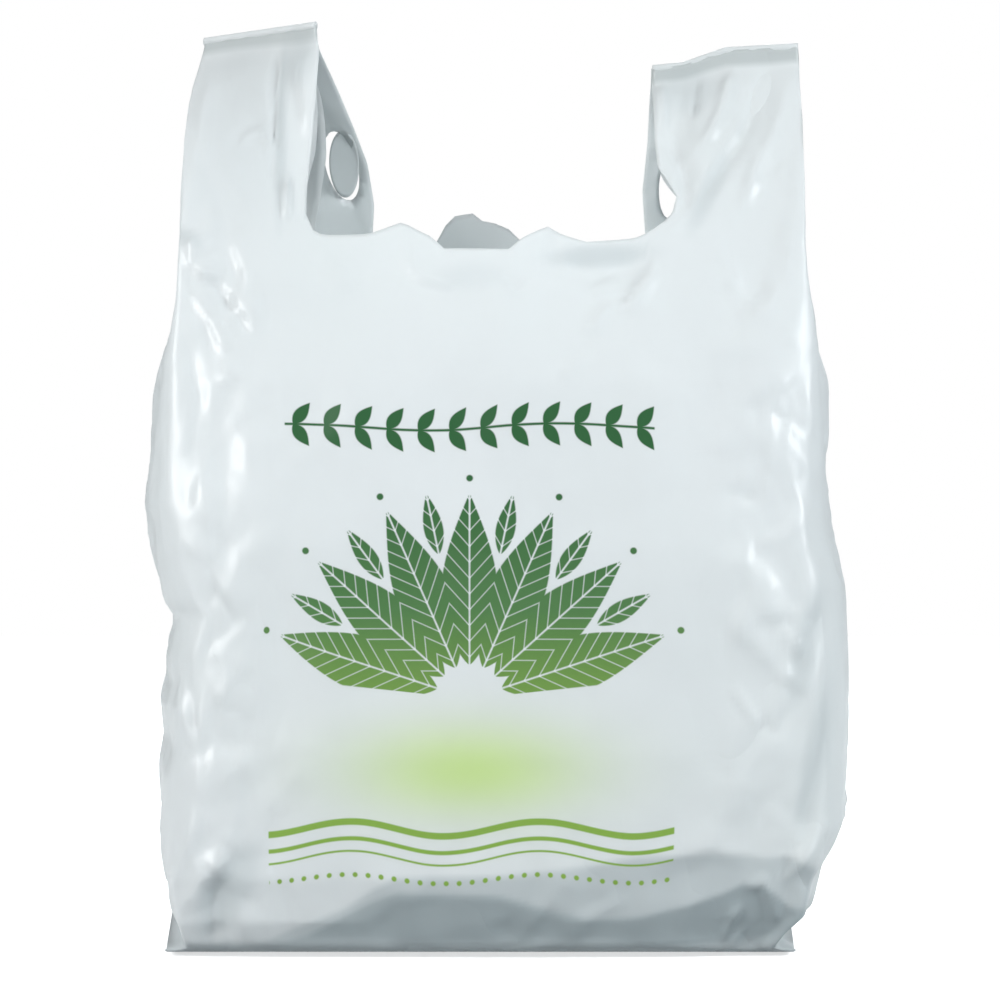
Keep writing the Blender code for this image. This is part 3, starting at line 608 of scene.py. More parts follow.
def film_table():
    """Rings of the whole bag stacked from the foot seal to the handle tops."""
    at = np.arange(TABLE_COLUMNS) * (ROUND / TABLE_COLUMNS)
    side, inner, _ = flat_side(at)
    gusset = np.clip(1 - gusset_distance(at) / GUSSET, 0, 1)
    rings = [base_ring(share) for share in np.linspace(0, 1, TABLE_BASE_ROWS)]
    edge = rings[-1][:, 2]
    for level in np.linspace(0, TOP, TABLE_WALL_ROWS)[1:]:
        ring = wall_ring(level)
        lift = SIDE_TUCK_HEIGHT * math.exp(-level / SIDE_TUCK_FADE) * gusset
        base_lift = edge * math.exp(-level / BASE_EDGE_FADE) * (1 - gusset)
        ring[:, 2] = strap_height(side, inner, level) + lift + base_lift
        rings.append(ring)
    return np.array(rings)


def read_table(table, s, level):
    """Points of the film at pattern places, read between the table's rings."""
    column = np.mod(s, ROUND) / ROUND * TABLE_COLUMNS
    row = np.where(
        level < 0,
        (level + 1) * (TABLE_BASE_ROWS - 1),
        TABLE_BASE_ROWS - 1 + np.clip(level, 0, TOP) / TOP * (TABLE_WALL_ROWS - 1),
    )
    low_column = np.floor(column).astype(int)
    low_row = np.minimum(np.floor(row).astype(int), len(table) - 2)
    across = (column - low_column)[..., None]
    up = (row - low_row)[..., None]
    next_column = (low_column + 1) % TABLE_COLUMNS
    low_column = low_column % TABLE_COLUMNS
    lower = table[low_row, low_column] * (1 - across) + table[low_row, next_column] * across
    upper = table[low_row + 1, low_column] * (1 - across) + table[low_row + 1, next_column] * across
    return lower * (1 - up) + upper * up


def mouth_shift(s, level):
    """How far the die-cut mouth edge lifts the film at a place, fading away from it."""
    side, inner, back = flat_side(s)
    share = side * inner / HALF_MOUTH
    edge = np.where(back, along(BACK_MOUTH, share), along(FRONT_MOUTH, share))
    edge = np.where(gusset_distance(s) < GUSSET, GUSSET_MOUTH, edge)
    into = np.clip(inner - (HALF_MOUTH - MOUTH_CORNER), 0, MOUTH_CORNER)
    corner = MOUTH_CORNER - np.sqrt(MOUTH_CORNER ** 2 - into ** 2)
    outside = np.clip((inner - HALF_MOUTH) / MOUTH_REACH_SIDE, 0, 1)
    above = level - MOUTH_HEIGHT
    near = np.clip(1 - np.maximum(above / MOUTH_REACH_UP, -above / MOUTH_REACH_DOWN), 0, 1)
    return (edge + corner) * (1 - outside) ** 2 * near


def crease_depth(place, creases):
    """Depth of the creases at places (x, z). The film is deepest on a crease's broken
    line and rises on each side over that side's width, nearly straight, so the line
    stays sharp. The crease fades towards its two ends."""
    total = np.zeros(place.shape[:-1])
    for line, depth, left, right in creases:
        line = np.array(line) * MM
        reach = np.diff(line, axis=0)
        lengths = np.hypot(*reach.T)
        nearest = np.full(total.shape, np.inf)
        cross = np.zeros(total.shape)
        run = np.zeros(total.shape)
        before = 0.0
        for start, way, length in zip(line, reach / lengths[:, None], lengths):
            gap = place - start
            here = np.clip(gap @ way, 0, length)
            away = np.linalg.norm(gap - here[..., None] * way, axis=-1)
            closer = away < nearest
            nearest = np.where(closer, away, nearest)
            cross = np.where(closer, way[0] * gap[..., 1] - way[1] * gap[..., 0], cross)
            run = np.where(closer, before + here, run)
            before += length
        width = np.where(cross > 0, left, right) * MM
        share = run / before
        taper = np.clip(np.minimum(share, 1 - share) / CREASE_TAPER[0], 0, 1) ** CREASE_TAPER[1]
        total += depth * MM * np.clip(1 - nearest / width, 0, 1) ** CREASE_POWER * taper
    return total


def nearest_square(place, centres):
    """Squared distance from each place to the nearest centre."""
    flat = place.reshape(-1, 2)
    nearest = np.full(len(flat), np.inf)
    for centre in centres:
        gap = flat - centre
        nearest = np.minimum(nearest, gap[:, 0] ** 2 + gap[:, 1] ** 2)
    return nearest.reshape(place.shape[:-1])


def facets(place, kind):
    """Straight-sided facets over the pattern: the squared distance to the nearest of
    one set of points less that of another. Inside a facet it is a plane, because the
    two squares cancel, and facets meet along straight sharp creases."""
    size, slope, stretch, seed = kind
    draw = np.random.default_rng(seed)
    stretch = np.array(stretch)
    high = np.array([ROUND, TOP])
    count = int(np.prod(high * stretch) / size ** 2)
    fields = []
    for _ in range(2):
        centres = draw.uniform((0, 0), high, (count, 2))
        margin = 2 * size / stretch[0]
        wrapped = np.concatenate([
            centres,
            centres[centres[:, 0] < margin] + (ROUND, 0),
            centres[centres[:, 0] > ROUND - margin] - (ROUND, 0),
        ])
        fields.append(nearest_square(place * stretch, wrapped * stretch))
    return (fields[0] - fields[1]) / size * slope


def film_columns():
    """Pattern places of the grid's columns round the whole tube, closer on the front
    and round the punched holes, and which of them carry on across the base."""
    step = FOLD_STEP
    front = [
        np.linspace(0, HALF_MOUTH, 2 * MIDDLE_CELLS + 1)[:-1],
        np.linspace(HALF_MOUTH, HALF_MOUTH + HOLE_ZONE, HOLE_CELLS + 1)[:-1],
        np.linspace(HALF_MOUTH + HOLE_ZONE, HALF_FLAT - step, 2 * SIDE_CELLS + 1)[:-1],
        [HALF_FLAT - step, HALF_FLAT],
        np.linspace(HALF_FLAT + step, HALF_FLAT + STRAP, GUSSET_CELLS + 1)[:-1],
        np.linspace(HALF_FLAT + STRAP, QUARTER, CREASE_CELLS + 1),
    ]
    shared = [np.arange(len(part)) % 2 == 0 if k in (0, 2) else np.ones(len(part), bool)
              for k, part in enumerate(front)]
    front, shared = np.concatenate(front), np.concatenate(shared)
    back = 2 * QUARTER - front[shared][-2::-1]
    half = np.concatenate([front, back])
    shared = np.concatenate([shared, np.ones(len(back), bool)])
    return np.concatenate([half, ROUND - half[-2:0:-1]]), np.concatenate([shared, shared[-2:0:-1]])


def film_levels():
    """Levels of the grid's rows: across the base, close at the foot, then in bands."""
    starts, rows = zip(*LEVEL_ROWS)
    stops = starts[1:] + (TOP - FILM_TOP_MARGIN,)
    bands = [np.linspace(*band)[:-1] for band in zip(starts, stops, [count + 1 for count in rows])]
    return np.concatenate([np.linspace(-1, 0, BASE_ROWS + 1)[:-1], FOOT_LEVELS, *bands, stops[-1:]])


def underturn(place):
    """Depth by which the lower front slopes back to the base: two planes that begin
    at heights given along x, less the depth that the standing shape has already."""
    x, z = place[..., 0] / MM, place[..., 1] / MM
    top = np.maximum(along(UNDERTURN_TOP, x) - z, 0) * UNDERTURN_SLOPE[0]
    low = np.maximum(along(UNDERTURN_LOW, x) - z, 0) * UNDERTURN_SLOPE[1]
    has = PANEL_DEPTH - GUSSET * along(FRONT_DEPTH, place[..., 1] / TOP)
    room = PANEL_DEPTH - BASE_HALF_DEPTH
    return np.maximum(np.minimum((top + low) * MM, room) - np.maximum(has, 0), 0)


def rim_share(s):
    """How near a place is to the folds that are the bag's outline, from 0 to 1."""
    return np.exp(-((gusset_distance(s) - GUSSET) / RIM_CALM) ** 2)


def facet_share(shares, edge, foot, calm, gusset, strap):
    """Strength of one kind of facet at each place."""
    middle, at_edge, at_foot, on_gusset, strap_loss = shares
    share = np.clip(middle + at_edge * edge + at_foot * foot, 0, 1) * calm
    return np.where(gusset, on_gusset, share) * (1 - strap_loss * strap)


def crumple(s, level, side, inner, back):
    """Depth of the film's facets: broad ones all over, middle and fine ones at the
    sides, the foot and the straps, and long slanting streaks on the straps. A
    hyperbolic tangent keeps the depth small."""
    place = np.stack([np.mod(s, ROUND), np.maximum(level, 0)], -1)
    gusset = gusset_distance(s) < GUSSET
    edge = smooth_step(inner, *EDGE_BAND)
    foot = 1 - smooth_step(level, *FOOT_BAND)
    strap = smooth_step(level, MOUTH_HEIGHT - STRAP_BAND, MOUTH_HEIGHT + STRAP_BAND)
    calm = np.where(side > 0, 1.0, LEFT_SHARE) * np.where(back, BACK_SHARE, 1.0)
    middle = facet_share(MIDDLE_SHARES, edge, foot, calm, gusset, strap)
    fine = facet_share(FINE_SHARES, edge ** 2, foot ** 2, calm, gusset, strap)
    turn = [[math.cos(STREAK_LEAN), math.sin(STREAK_LEAN)], [-math.sin(STREAK_LEAN), math.cos(STREAK_LEAN)]]
    centre = np.array([HALF_FLAT - STRAP / 2, TOP - STRAP_LENGTH / 2])
    slant = (np.stack([inner, level], -1) - centre) @ turn + centre
    streak = facets(np.maximum(slant, 0), STREAK_FACETS)
    streak = streak * strap * np.where(side > 0, 1.0, LEFT_STREAKS) * ~gusset
    tab_height = MOUTH_HEIGHT + TAB_RISE
    tab = np.exp(-(inner / TAB_CALM[0]) ** 4 - ((level - tab_height) / TAB_CALM[1]) ** 4) * back
    fade = (1 - tab) * (1 - RIM_LOSS * rim_share(s)) * smooth_step(level, 0, FACETS_FROM)
    fade = fade * (1 - smooth_step(level, TOP - FACETS_TO[0], TOP - FACETS_TO[1]))
    depth = facets(place, BROAD_FACETS) + facets(place, MIDDLE_FACETS) * middle
    depth = (depth + facets(place, FINE_FACETS) * fine + streak) * fade
    return CRUMPLE_LIMIT * np.tanh(depth / CRUMPLE_LIMIT)


def grid_normals(points):
    """Outward normals of the closed grid, from the cross product of its steps."""
    around = np.roll(points, -1, 1) - np.roll(points, 1, 1)
    up = np.gradient(points, axis=0)
    normal = np.cross(around, up)
    return normal / np.maximum(np.linalg.norm(normal, axis=-1, keepdims=True), 1e-12)


def film_surface(depth_scale):
    """Grid places and points of the film: the standing bag's rings, read at each
    place of the pattern, pushed in along the normal by its creases and facets."""
    columns, shared = film_columns()
    levels = film_levels()
    s, level = np.meshgrid(columns, levels)
    level = np.where(level < 0, level, level + mouth_shift(s, level))
    points = read_table(film_table(), s, level)
    side, inner, back = flat_side(s)
    near = gusset_distance(s) / GUSSET
    panel = smooth_step(near, *PANEL_BAND) * smooth_step(level, *WALL_BAND)
    place = points[..., [0, 2]]
    turned = smooth_step(near, *TURN_BAND) * (level > 0) * ~back
    relief = CREASE_RELIEF * (1 + CREASE_GAIN * smooth_step(level, *CREASE_GAIN_BAND))
    relief = relief * (1 - CREASE_RIM_LOSS * rim_share(s)) * panel
    relief = relief * (1 - smooth_step(level, TOP - CREASES_TO[0], TOP - CREASES_TO[1]))
    front = crease_depth(place, FRONT_CREASES) * relief * ~back
    rear = crease_depth(place, BACK_CREASES) * relief * back
    depth = (front + rear + crumple(s, level, side, inner, back)) * depth_scale
    points = points - grid_normals(points) * depth[..., None]
    points[..., 1] += underturn(place) * turned * depth_scale
    return columns, shared, levels, s, level, points, painted_shade_share(place, panel * ~back)


def painted_shade_share(place, front):
    """Share of the painted shade colour, from 0 to 1: over the foot, where the film turns under
    away from the light, at the foot of the other walls, and in soft ovals of painted shadow on the front."""
    x, z = place[..., 0] / MM, place[..., 1] / MM
    top = smooth_step(along(UNDERTURN_TOP, x) - z, -SHADE_SOFT / 2, SHADE_SOFT) * FOOT_SHADE_SHARES[0]
    low = smooth_step(along(UNDERTURN_LOW, x) - z, -SHADE_SOFT / 2, SHADE_SOFT) * FOOT_SHADE_SHARES[1]
    wall = (1 - smooth_step(place[..., 1], 0, WALL_FOOT_SHADE[0])) * WALL_FOOT_SHADE[1]
    patches = np.zeros(x.shape)
    for centre_x, centre_z, half_width, half_height, lean, share in SHADE_PATCHES:
        cos, sin = math.cos(math.radians(lean)), math.sin(math.radians(lean))
        u = ((x - centre_x) * cos + (z - centre_z) * sin) / half_width
        v = ((z - centre_z) * cos - (x - centre_x) * sin) / half_height
        patches += share * np.exp(-(u * u + v * v) ** 2)
    return np.clip((top + low + patches) * front + wall * (1 - front), 0, 1)


def punched(points, holes):
    """Moves the grid's points nearest each oval on to it; true inside the ovals."""
    inside = np.zeros(points.shape[:2], bool)
    for (x, z, half_width, half_height, lean), across in holes:
        dx, dz = points[..., 0] - x, points[..., 2] - z
        u = (dx * math.cos(lean) + dz * math.sin(lean)) / half_width
        v = (-dx * math.sin(lean) + dz * math.cos(lean)) / half_height
        size = np.hypot(u, v)
        here = across & (size < HOLE_SNAP[1])
        edge = here & (size > HOLE_SNAP[0])
        fit = np.where(edge, 1 / np.maximum(size, 1e-6), 1.0)
        points[..., 0] = np.where(edge, x + dx * fit, points[..., 0])
        points[..., 2] = np.where(edge, z + dz * fit, points[..., 2])
        inside |= here & (size <= HOLE_SNAP[0]) | edge
    return inside


def hole_place(side, hole):
    """Centre, half sizes and lean of a punched hole, in metres."""
    out, share, half_width, half_height, lean = hole
    return side * (HALF_MOUTH + out), MOUTH_HEIGHT + STRAP_LENGTH * share, half_width, half_height, lean


def mesh_piece(name, vertices, faces, material):
    mesh = bpy.data.meshes.new(name)
    mesh.from_pydata(vertices, [], faces)
    mesh.update()
    made = bpy.data.objects.new(name, mesh)
    bpy.context.scene.collection.objects.link(made)
    made.data.materials.append(material)
    mesh.polygons.foreach_set("use_smooth", np.ones(len(mesh.polygons), bool))
    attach(made, "root")
    return made


def add_wall(made, settings):
    """Gives a sheet the film's thickness, half to each side of it."""
    wall = made.modifiers.new("film wall", "SOLIDIFY")
    wall.thickness = settings.film_wall
    wall.offset = 0.0


def base_faces(index, shared):
    """Faces of the base, on the shared columns only. The front and back halves meet
    along the foot seal, and the first row from the wall takes in all its points."""
    keep = np.flatnonzero(shared)
    count = len(keep)
    rows = index[:BASE_ROWS, keep]
    lower = rows[:-1]
    upper = rows[1:]
    quads = np.stack([lower, np.roll(lower, -1, 1), np.roll(upper, -1, 1), upper], -1).reshape(-1, 4)
    faces = [tuple(face) for face in quads.tolist()]
    whole = np.append(index[BASE_ROWS], index[BASE_ROWS, 0])
    last = rows[-1]
    for k in range(count):
        end = keep[k + 1] if k + 1 < count else index.shape[1]
        top = whole[keep[k]:end + 1][::-1].tolist()
        faces.append((int(last[k]), int(last[(k + 1) % count]), *top))
    return faces


def film_piece(settings):
    columns, shared, levels, s, level, points, painted_shade = film_surface(settings.fold_scale)
    count = len(columns)
    side, _, back = flat_side(s)
    high = back & (level > MOUTH_HEIGHT + HOLE_CLEAR) & (gusset_distance(s) > GUSSET)
    gone = punched(points, (
        (hole_place(-1, LEFT_HOLE), (side < 0) & high),
        (hole_place(1, RIGHT_HOLE), (side > 0) & high),
    ))
    middle = (columns + np.append(columns[1:], ROUND)) / 2
    _, middle_inner, _ = flat_side(middle)
    kept = (middle_inner > HALF_MOUTH)[None, :] | (levels[:-1] < MOUTH_HEIGHT - 1e-6)[:, None]
    after = (np.arange(count) + 1) % count
    kept &= ~(gone[:-1] & gone[1:] & gone[:-1][:, after] & gone[1:][:, after])
    kept[:BASE_ROWS] = False
    index = np.arange(points.shape[0] * count).reshape(-1, count)
    mirror = np.abs(np.mod(2 * QUARTER - columns, ROUND)[:, None] - columns[None, :]).argmin(1)
    index[0] = np.minimum(np.arange(count), mirror)
    quads = np.stack([index[:-1], index[:-1][:, after], index[1:][:, after], index[1:]], -1)
    faces = [tuple(face) for face in quads[kept].tolist()] + base_faces(index, shared)
    faces = [tuple(dict.fromkeys(face)) for face in faces]
    used = np.unique(np.concatenate([np.array(face) for face in faces]))
    renumber = np.zeros(points.shape[0] * count, int)
    renumber[used] = np.arange(len(used))
    renumbered = [tuple(renumber[list(face)].tolist()) for face in faces]
    vertices = points.reshape(-1, 3)[used]
    made = mesh_piece("bag_film", vertices.tolist(), renumbered, film_material(settings, printed=True))
    pattern = np.stack([s, np.where(level < 0, level * BASE_HALF_DEPTH, level)], -1).reshape(-1, 2)
    sizes = np.array([len(face) for face in faces])
    corners = pattern[np.concatenate([np.array(face) for face in faces])]
    last = np.maximum.reduceat(corners[:, 0], np.cumsum(sizes) - sizes)
    left = np.repeat(last > 2 * QUARTER + 1e-9, sizes)
    corners[left, 0] -= np.where(corners[left, 0] > 0, ROUND, 0)
    layer = made.data.uv_layers.new(name="pattern")
    layer.data.foreach_set("uv", corners.ravel().astype(np.float32))
    # Painted shade: the share of the greyer colour that stands for shadow, kept on the points
    shade = made.data.attributes.new("painted_shade", "FLOAT", "POINT")
    shade.data.foreach_set("value", painted_shade.reshape(-1)[used].astype(np.float32))
    add_wall(made, settings)
    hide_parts("bag")
    return made


def flap_piece(settings):
    """The oval cut out of the left back strap, still held at its upper right edge: a
    shallow dome over an oval, on the strap's plane between two heights of it."""
    x, z, half_width, half_height, lean = hole_place(-1, LEFT_HOLE)
    lean += FLAP_TURN
    x, z = x + FLAP_SHIFT[0], z + FLAP_SHIFT[1]
    share = np.linspace(FLAP_CENTRE, 1, FLAP_RINGS)[:, None]
    turn = np.linspace(0, 2 * math.pi, FLAP_CELLS + 1)[:-1][None, :]
    across = half_width * FLAP_SIZE * share * np.cos(turn)
    up = half_height * FLAP_SIZE * share * np.sin(turn)
    place_x = x + across * math.cos(lean) - up * math.sin(lean)
    place_z = z + across * math.sin(lean) + up * math.cos(lean)
    heights = (z - half_height, z + half_height)
    depths = []
    for height in heights:
        ring = half_ring(-1, height)
        _, inner_x, inner_y, _ = ring[-1]
        _, outer_x, outer_y, _ = ring[-2]
        depths.append(inner_y + (place_x - inner_x) * (outer_y - inner_y) / (outer_x - inner_x))
    way = (place_z - heights[0]) / (heights[1] - heights[0])
    place_y = depths[0] * (1 - way) + depths[1] * way
    place_y -= FLAP_LIFT * (1 - share ** 2) + FLAP_SWING * (across / half_width - 1) ** 2
    points = np.stack([place_x, place_y, place_z], -1)
    rows, count = points.shape[:2]
    index = np.arange(rows * count).reshape(rows, count)
    following = np.roll(index, -1, 1)
    quads = np.stack([index[:-1], following[:-1], following[1:], index[1:]], -1).reshape(-1, 4)
    faces = quads.tolist() + [index[0].tolist()]
    material = film_material(settings, printed=False)
    made = mesh_piece("left_flap", points.reshape(-1, 3).tolist(), faces, material)
    add_wall(made, settings)
    return made


class Field:
    """A number in a material, so that plain sums of fields become Math nodes."""

    def __init__(self, tree, socket):
        self.tree, self.socket = tree, socket

    def make(self, kind, *others):
        node = self.tree.nodes.new("ShaderNodeMath")
        node.operation = kind
        for slot, value in enumerate((self,) + others):
            if isinstance(value, Field):
                self.tree.links.new(value.socket, node.inputs[slot])
            else:
                node.inputs[slot].default_value = value
        return Field(self.tree, node.outputs[0])

    def __add__(self, other):
        return self.make("ADD", other)

    def __sub__(self, other):
        return self.make("SUBTRACT", other)

    def __mul__(self, other):
        return self.make("MULTIPLY", other)

    def __truediv__(self, other):
        return self.make("DIVIDE", other)

    def __pow__(self, other):
        return self.make("POWER", other)

    def size(self):
        return self.make("ABSOLUTE")

    def part(self):
        return self.make("FRACT")

    def least(self, other):
        return self.make("MINIMUM", other)

    def most(self, other):
        return self.make("MAXIMUM", other)

    def under(self, limit, soft):
        """1 below the limit, 0 above it, with a soft edge."""
        return ((self - limit) * (-1 / soft) + 0.5).clamped()

    def over(self, limit, soft):
        """1 above the limit, 0 below it, with a soft edge."""
        return ((self - limit) * (1 / soft) + 0.5).clamped()

    def clamped(self):
        self.socket.node.use_clamp = True
        return self


def leaf(along_it, across_it, length, width, veined=True):
    """Mask of a leaf with a pale midrib and side veins. Its edge stands off the
    midrib by the width times the sine of the way along it, and the veins are slanting
    stripes of a fraction of the way along."""
    share = (along_it / length).most(0.0).least(1.0)
    half = (share ** LEAF_BELLY * math.pi).make("SINE") * width
    aside = across_it.size()
    body = (aside - half).under(0.0, INK_EDGE)
    body = body * along_it.over(0.0, INK_EDGE) * along_it.under(length, INK_EDGE)
    if not veined:
        return body
    rib = aside.under(RIB_HALF, INK_EDGE)
    vein = (((along_it - aside * VEIN_SLANT) / VEIN_STEP + FAN_CELLS).part() - 0.5).size()
    vein = vein.under(VEIN_SHARE, INK_EDGE / VEIN_STEP)
    return (body - rib - vein * VEIN_PALE).clamped()


def print_masks(u, v):
    """The print on the front panel, as masks over the pattern's metres: a fan of broad
    leaves with small ones and dots between their tips, a twig of leaf pairs over it,
    waved ribbons with a row of dots under it, and a pale glow at its foot."""
    du, dv = u - FAN_PLACE[0], v - FAN_PLACE[1]
    radius = (du * du + dv * dv) ** 0.5
    angle = du.make("ARCTAN2", dv)
    fan = None
    for start, length, width, offset, reach in FAN_RINGS:
        local = (((angle / FAN_STEP + offset + (FAN_CELLS + 0.5)).part()) - 0.5) * FAN_STEP
        way = radius * local.make("COSINE") - start
        ring = leaf(way, radius * local.make("SINE"), length, width)
        ring = ring * angle.size().under(reach, FAN_SOFT)
        fan = ring if fan is None else fan.most(ring)
    local = (((angle / FAN_STEP + (FAN_CELLS + 0.5)).part()) - 0.5) * FAN_STEP
    way = radius * local.make("COSINE") - FAN_DOTS[0]
    aside = radius * local.make("SINE")
    dots = ((way * way + aside * aside) ** 0.5).under(FAN_DOTS[1], INK_EDGE)
    fan = fan.most(dots * angle.size().under(FAN_DOTS[2], FAN_SOFT))
    sway = (u * TWIG_WAVE[0]).make("SINE") * TWIG_WAVE[1]
    lift = v - TWIG_HEIGHT - sway
    cell = ((u / TWIG_PITCH + (ROW_CELLS + 0.5)).part() - 0.5) * TWIG_PITCH + TWIG_START
    twig = lift.size().under(TWIG_HALF, INK_EDGE)
    for flip in (1.0, -1.0):
        way = cell * TWIG_LEAN[0] + lift * (flip * TWIG_LEAN[1])
        aside = cell * TWIG_LEAN[1] - lift * (flip * TWIG_LEAN[0])
        twig = twig.most(leaf(way, aside, *TWIG_LEAF, veined=False))
    twig = twig * (u - FAN_PLACE[0]).size().under(TWIG_REACH, INK_EDGE)
    wave = (u * RIBBON_WAVE[0]).make("SINE") * RIBBON_WAVE[1]
    ribbon = None
    for height, half in RIBBONS:
        line = (v - height - wave).size().under(half, INK_EDGE)
        ribbon = line if ribbon is None else ribbon.most(line)
    across = ((u / DOT_ROW[1] + ROW_CELLS).part() - 0.5) * DOT_ROW[1]
    up = v - DOT_ROW[0] - wave * DOT_SWAY
    ribbon = ribbon.most(((across * across + up * up) ** 0.5).under(DOT_ROW[2], INK_EDGE))
    ribbon = ribbon * (u - FAN_PLACE[0]).size().under(RIBBON_REACH, INK_EDGE)
    wide = (u - FAN_PLACE[0]) / GLOW_SIZE[0]
    tall = (v - GLOW_HEIGHT) / GLOW_SIZE[1]
    glow = ((wide * wide + tall * tall) * -1.0).make("EXPONENT")
    return fan, twig, ribbon, glow


def mix_colour(tree, share, first, second):
    node = tree.nodes.new("ShaderNodeMix")
    node.data_type = "RGBA"
    tree.links.new(share.socket, node.inputs[0])
    for slot, value in ((6, first), (7, second)):
        if isinstance(value, tuple):
            node.inputs[slot].default_value = (*value[:3], 1.0)
        else:
            tree.links.new(value, node.inputs[slot])
    return node.outputs[2]


def noise_field(tree, place, scale, stretch, detail):
    """Soft noise of Object coordinates, stretched along the axes."""
    mapping = tree.nodes.new("ShaderNodeMapping")
    mapping.inputs["Scale"].default_value = stretch
    tree.links.new(place, mapping.inputs["Vector"])
    noise = tree.nodes.new("ShaderNodeTexNoise")
    noise.inputs["Scale"].default_value = scale
    noise.inputs["Detail"].default_value = detail
    tree.links.new(mapping.outputs[0], noise.inputs["Vector"])
    return Field(tree, noise.outputs["Fac"])


def film_material(settings, printed):
    """Thin white film, part matt and part glossy, that lets some light through. Fine
    ridges lie where a soft noise crosses its middle value. The film is greyer at its
    foot, in patches and at the handle tops, which is painted shade. The print is green ink, dark
    above and lime below."""
    material = bpy.data.materials.new("printed film" if printed else "film")
    material.use_nodes = True
    tree = material.node_tree
    shader = tree.nodes["Principled BSDF"]
    output = tree.nodes["Material Output"]
    coords = tree.nodes.new("ShaderNodeTexCoord").outputs["Object"]
    lively = RIDGE_PLAIN
    cloud = noise_field(tree, coords, *CLOUD_NOISE)
    film = mix_colour(tree, cloud, tuple(settings.film_colour), tuple(settings.film_shade))
    if printed:
        pattern = tree.nodes.new("ShaderNodeUVMap")
        pattern.uv_map = "pattern"
        split = tree.nodes.new("ShaderNodeSeparateXYZ")
        tree.links.new(pattern.outputs["UV"], split.inputs[0])
        u, v = Field(tree, split.outputs[0]), Field(tree, split.outputs[1])
        # Painted shade: a greyer band at the handle tops, standing for the dimmer light through the stacked
        # plies
        pressed = (v + cloud * TOP_SHADE_SWAY).over(TOP_SHADE_FROM, TOP_SHADE_SOFT)
        film = mix_colour(tree, pressed, film, tuple(settings.top_shade_colour))
        # Painted shade: the greyer foot colour, mixed in by the points' share, stands for shadow at the
        # foot and in patches
        painted_shade = tree.nodes.new("ShaderNodeAttribute")
        painted_shade.attribute_name = "painted_shade"
        film = mix_colour(tree, Field(tree, painted_shade.outputs["Fac"]), film, tuple(settings.foot_shade_colour))
        on_front = u.size().under(HALF_FLAT, FRONT_SOFT)
        fan, twig, ribbon, glow = print_masks(u * PANEL_STRETCH, v)
        height = ((v - INK_SPAN[0]) / INK_SPAN[1]).clamped()
        low_half = (height * 2.0).clamped()
        high_half = (height * 2.0 - 1.0).clamped()
        ink = mix_colour(tree, low_half, tuple(settings.ink_lime), tuple(settings.ink_mid))
        ink = mix_colour(tree, high_half, ink, tuple(settings.ink_dark))
        film = mix_colour(tree, glow * on_front * GLOW_SHARE, film, tuple(settings.ink_glow))
        film = mix_colour(tree, fan.most(twig).most(ribbon) * on_front, film, ink)
        lively = (u.size().over(*RIDGE_EDGE) + v.under(*RIDGE_FOOT) + RIDGE_REST).clamped()
    tree.links.new(film, shader.inputs["Base Color"])
    rough = cloud * ROUGH_SWAY + settings.film_roughness - ROUGH_SWAY / 2
    tree.links.new(rough.socket, shader.inputs["Roughness"])
    shader.inputs["IOR"].default_value = FILM_IOR
    through = tree.nodes.new("ShaderNodeBsdfTranslucent")
    tree.links.new(film, through.inputs["Color"])
    mix = tree.nodes.new("ShaderNodeMixShader")
    mix.inputs[0].default_value = settings.film_translucency
    tree.links.new(shader.outputs[0], mix.inputs[1])
    tree.links.new(through.outputs[0], mix.inputs[2])
    tree.links.new(mix.outputs[0], output.inputs["Surface"])
    ridges = (noise_field(tree, coords, *RIDGE_NOISE) - 0.5).size() * cloud.over(*RIDGE_PATCHES) * lively
    bump = tree.nodes.new("ShaderNodeBump")
    bump.inputs["Strength"].default_value = 1.0
    bump.inputs["Distance"].default_value = settings.crinkle_depth
    tree.links.new(ridges.socket, bump.inputs["Height"])
    tree.links.new(bump.outputs[0], shader.inputs["Normal"])
    tree.links.new(bump.outputs[0], through.inputs["Normal"])
    return material


def seal_piece(name, side, settings):
    """The pressed band over one handle top: a thin lens section carried along the
    line of the strap's top, from its inner edge to its fold."""
    ring = half_ring(side, TOP)
    inner = np.array(ring[0][1:3]) + np.array([0.0, 3 * HALF_GAP])
    outer = np.array(ring[2][1:3]) + np.array([0.0, 2 * HALF_GAP])
    reach = np.linspace(0, 1, SEAL_ROWS)
    tops = TOP + along(LEFT_TOP if side < 0 else RIGHT_TOP, reach)
    way = (outer - inner) / np.linalg.norm(outer - inner)
    across = np.array([-way[1], way[0]])
    middle = inner + (outer - inner) * reach[:, None]
    turn = np.linspace(0, 2 * math.pi, SEAL_CELLS + 1)[:-1]
    sway = 1 + SEAL_SWAY * np.sin(reach * SEAL_WAVES[0]) * np.sin(reach * SEAL_WAVES[1])
    thick = np.cos(turn)[None, :] * settings.seal_thickness / 2 * sway[:, None]
    rise = tops[:, None] - settings.seal_height / 2 + np.sin(turn)[None, :] * settings.seal_height / 2
    xy = middle[:, None, :] + thick[..., None] * across
    points = np.concatenate([xy, rise[..., None]], -1)
    return tube_piece(name, points, side < 0, settings)


def foot_seal_piece(settings):
    """The foot seal with its trimmed edge folded flat: a bar with rounded corners,
    the square roots of cosine and sine, that sways a little along the base."""
    across = np.linspace(BASE_SHIFT - HALF_FLAT, BASE_SHIFT + HALF_FLAT, FOOT_SEAL_ROWS)
    turn = np.linspace(0, 2 * math.pi, SEAL_CELLS + 1)[:-1]
    y = np.sign(np.cos(turn)) * np.abs(np.cos(turn)) ** 0.5 * settings.foot_seal_depth / 2
    z = FOOT_SEAL_HALF * (1 + np.sign(np.sin(turn)) * np.abs(np.sin(turn)) ** 0.5)
    points = np.empty((len(across), len(turn), 3))
    points[..., 0] = across[:, None]
    points[..., 1] = y[None, :] + FOOT_SEAL_SWAY * np.sin(across * FOOT_SEAL_WAVE)[:, None]
    points[..., 2] = z[None, :]
    return tube_piece("foot_seal", points, True, settings)


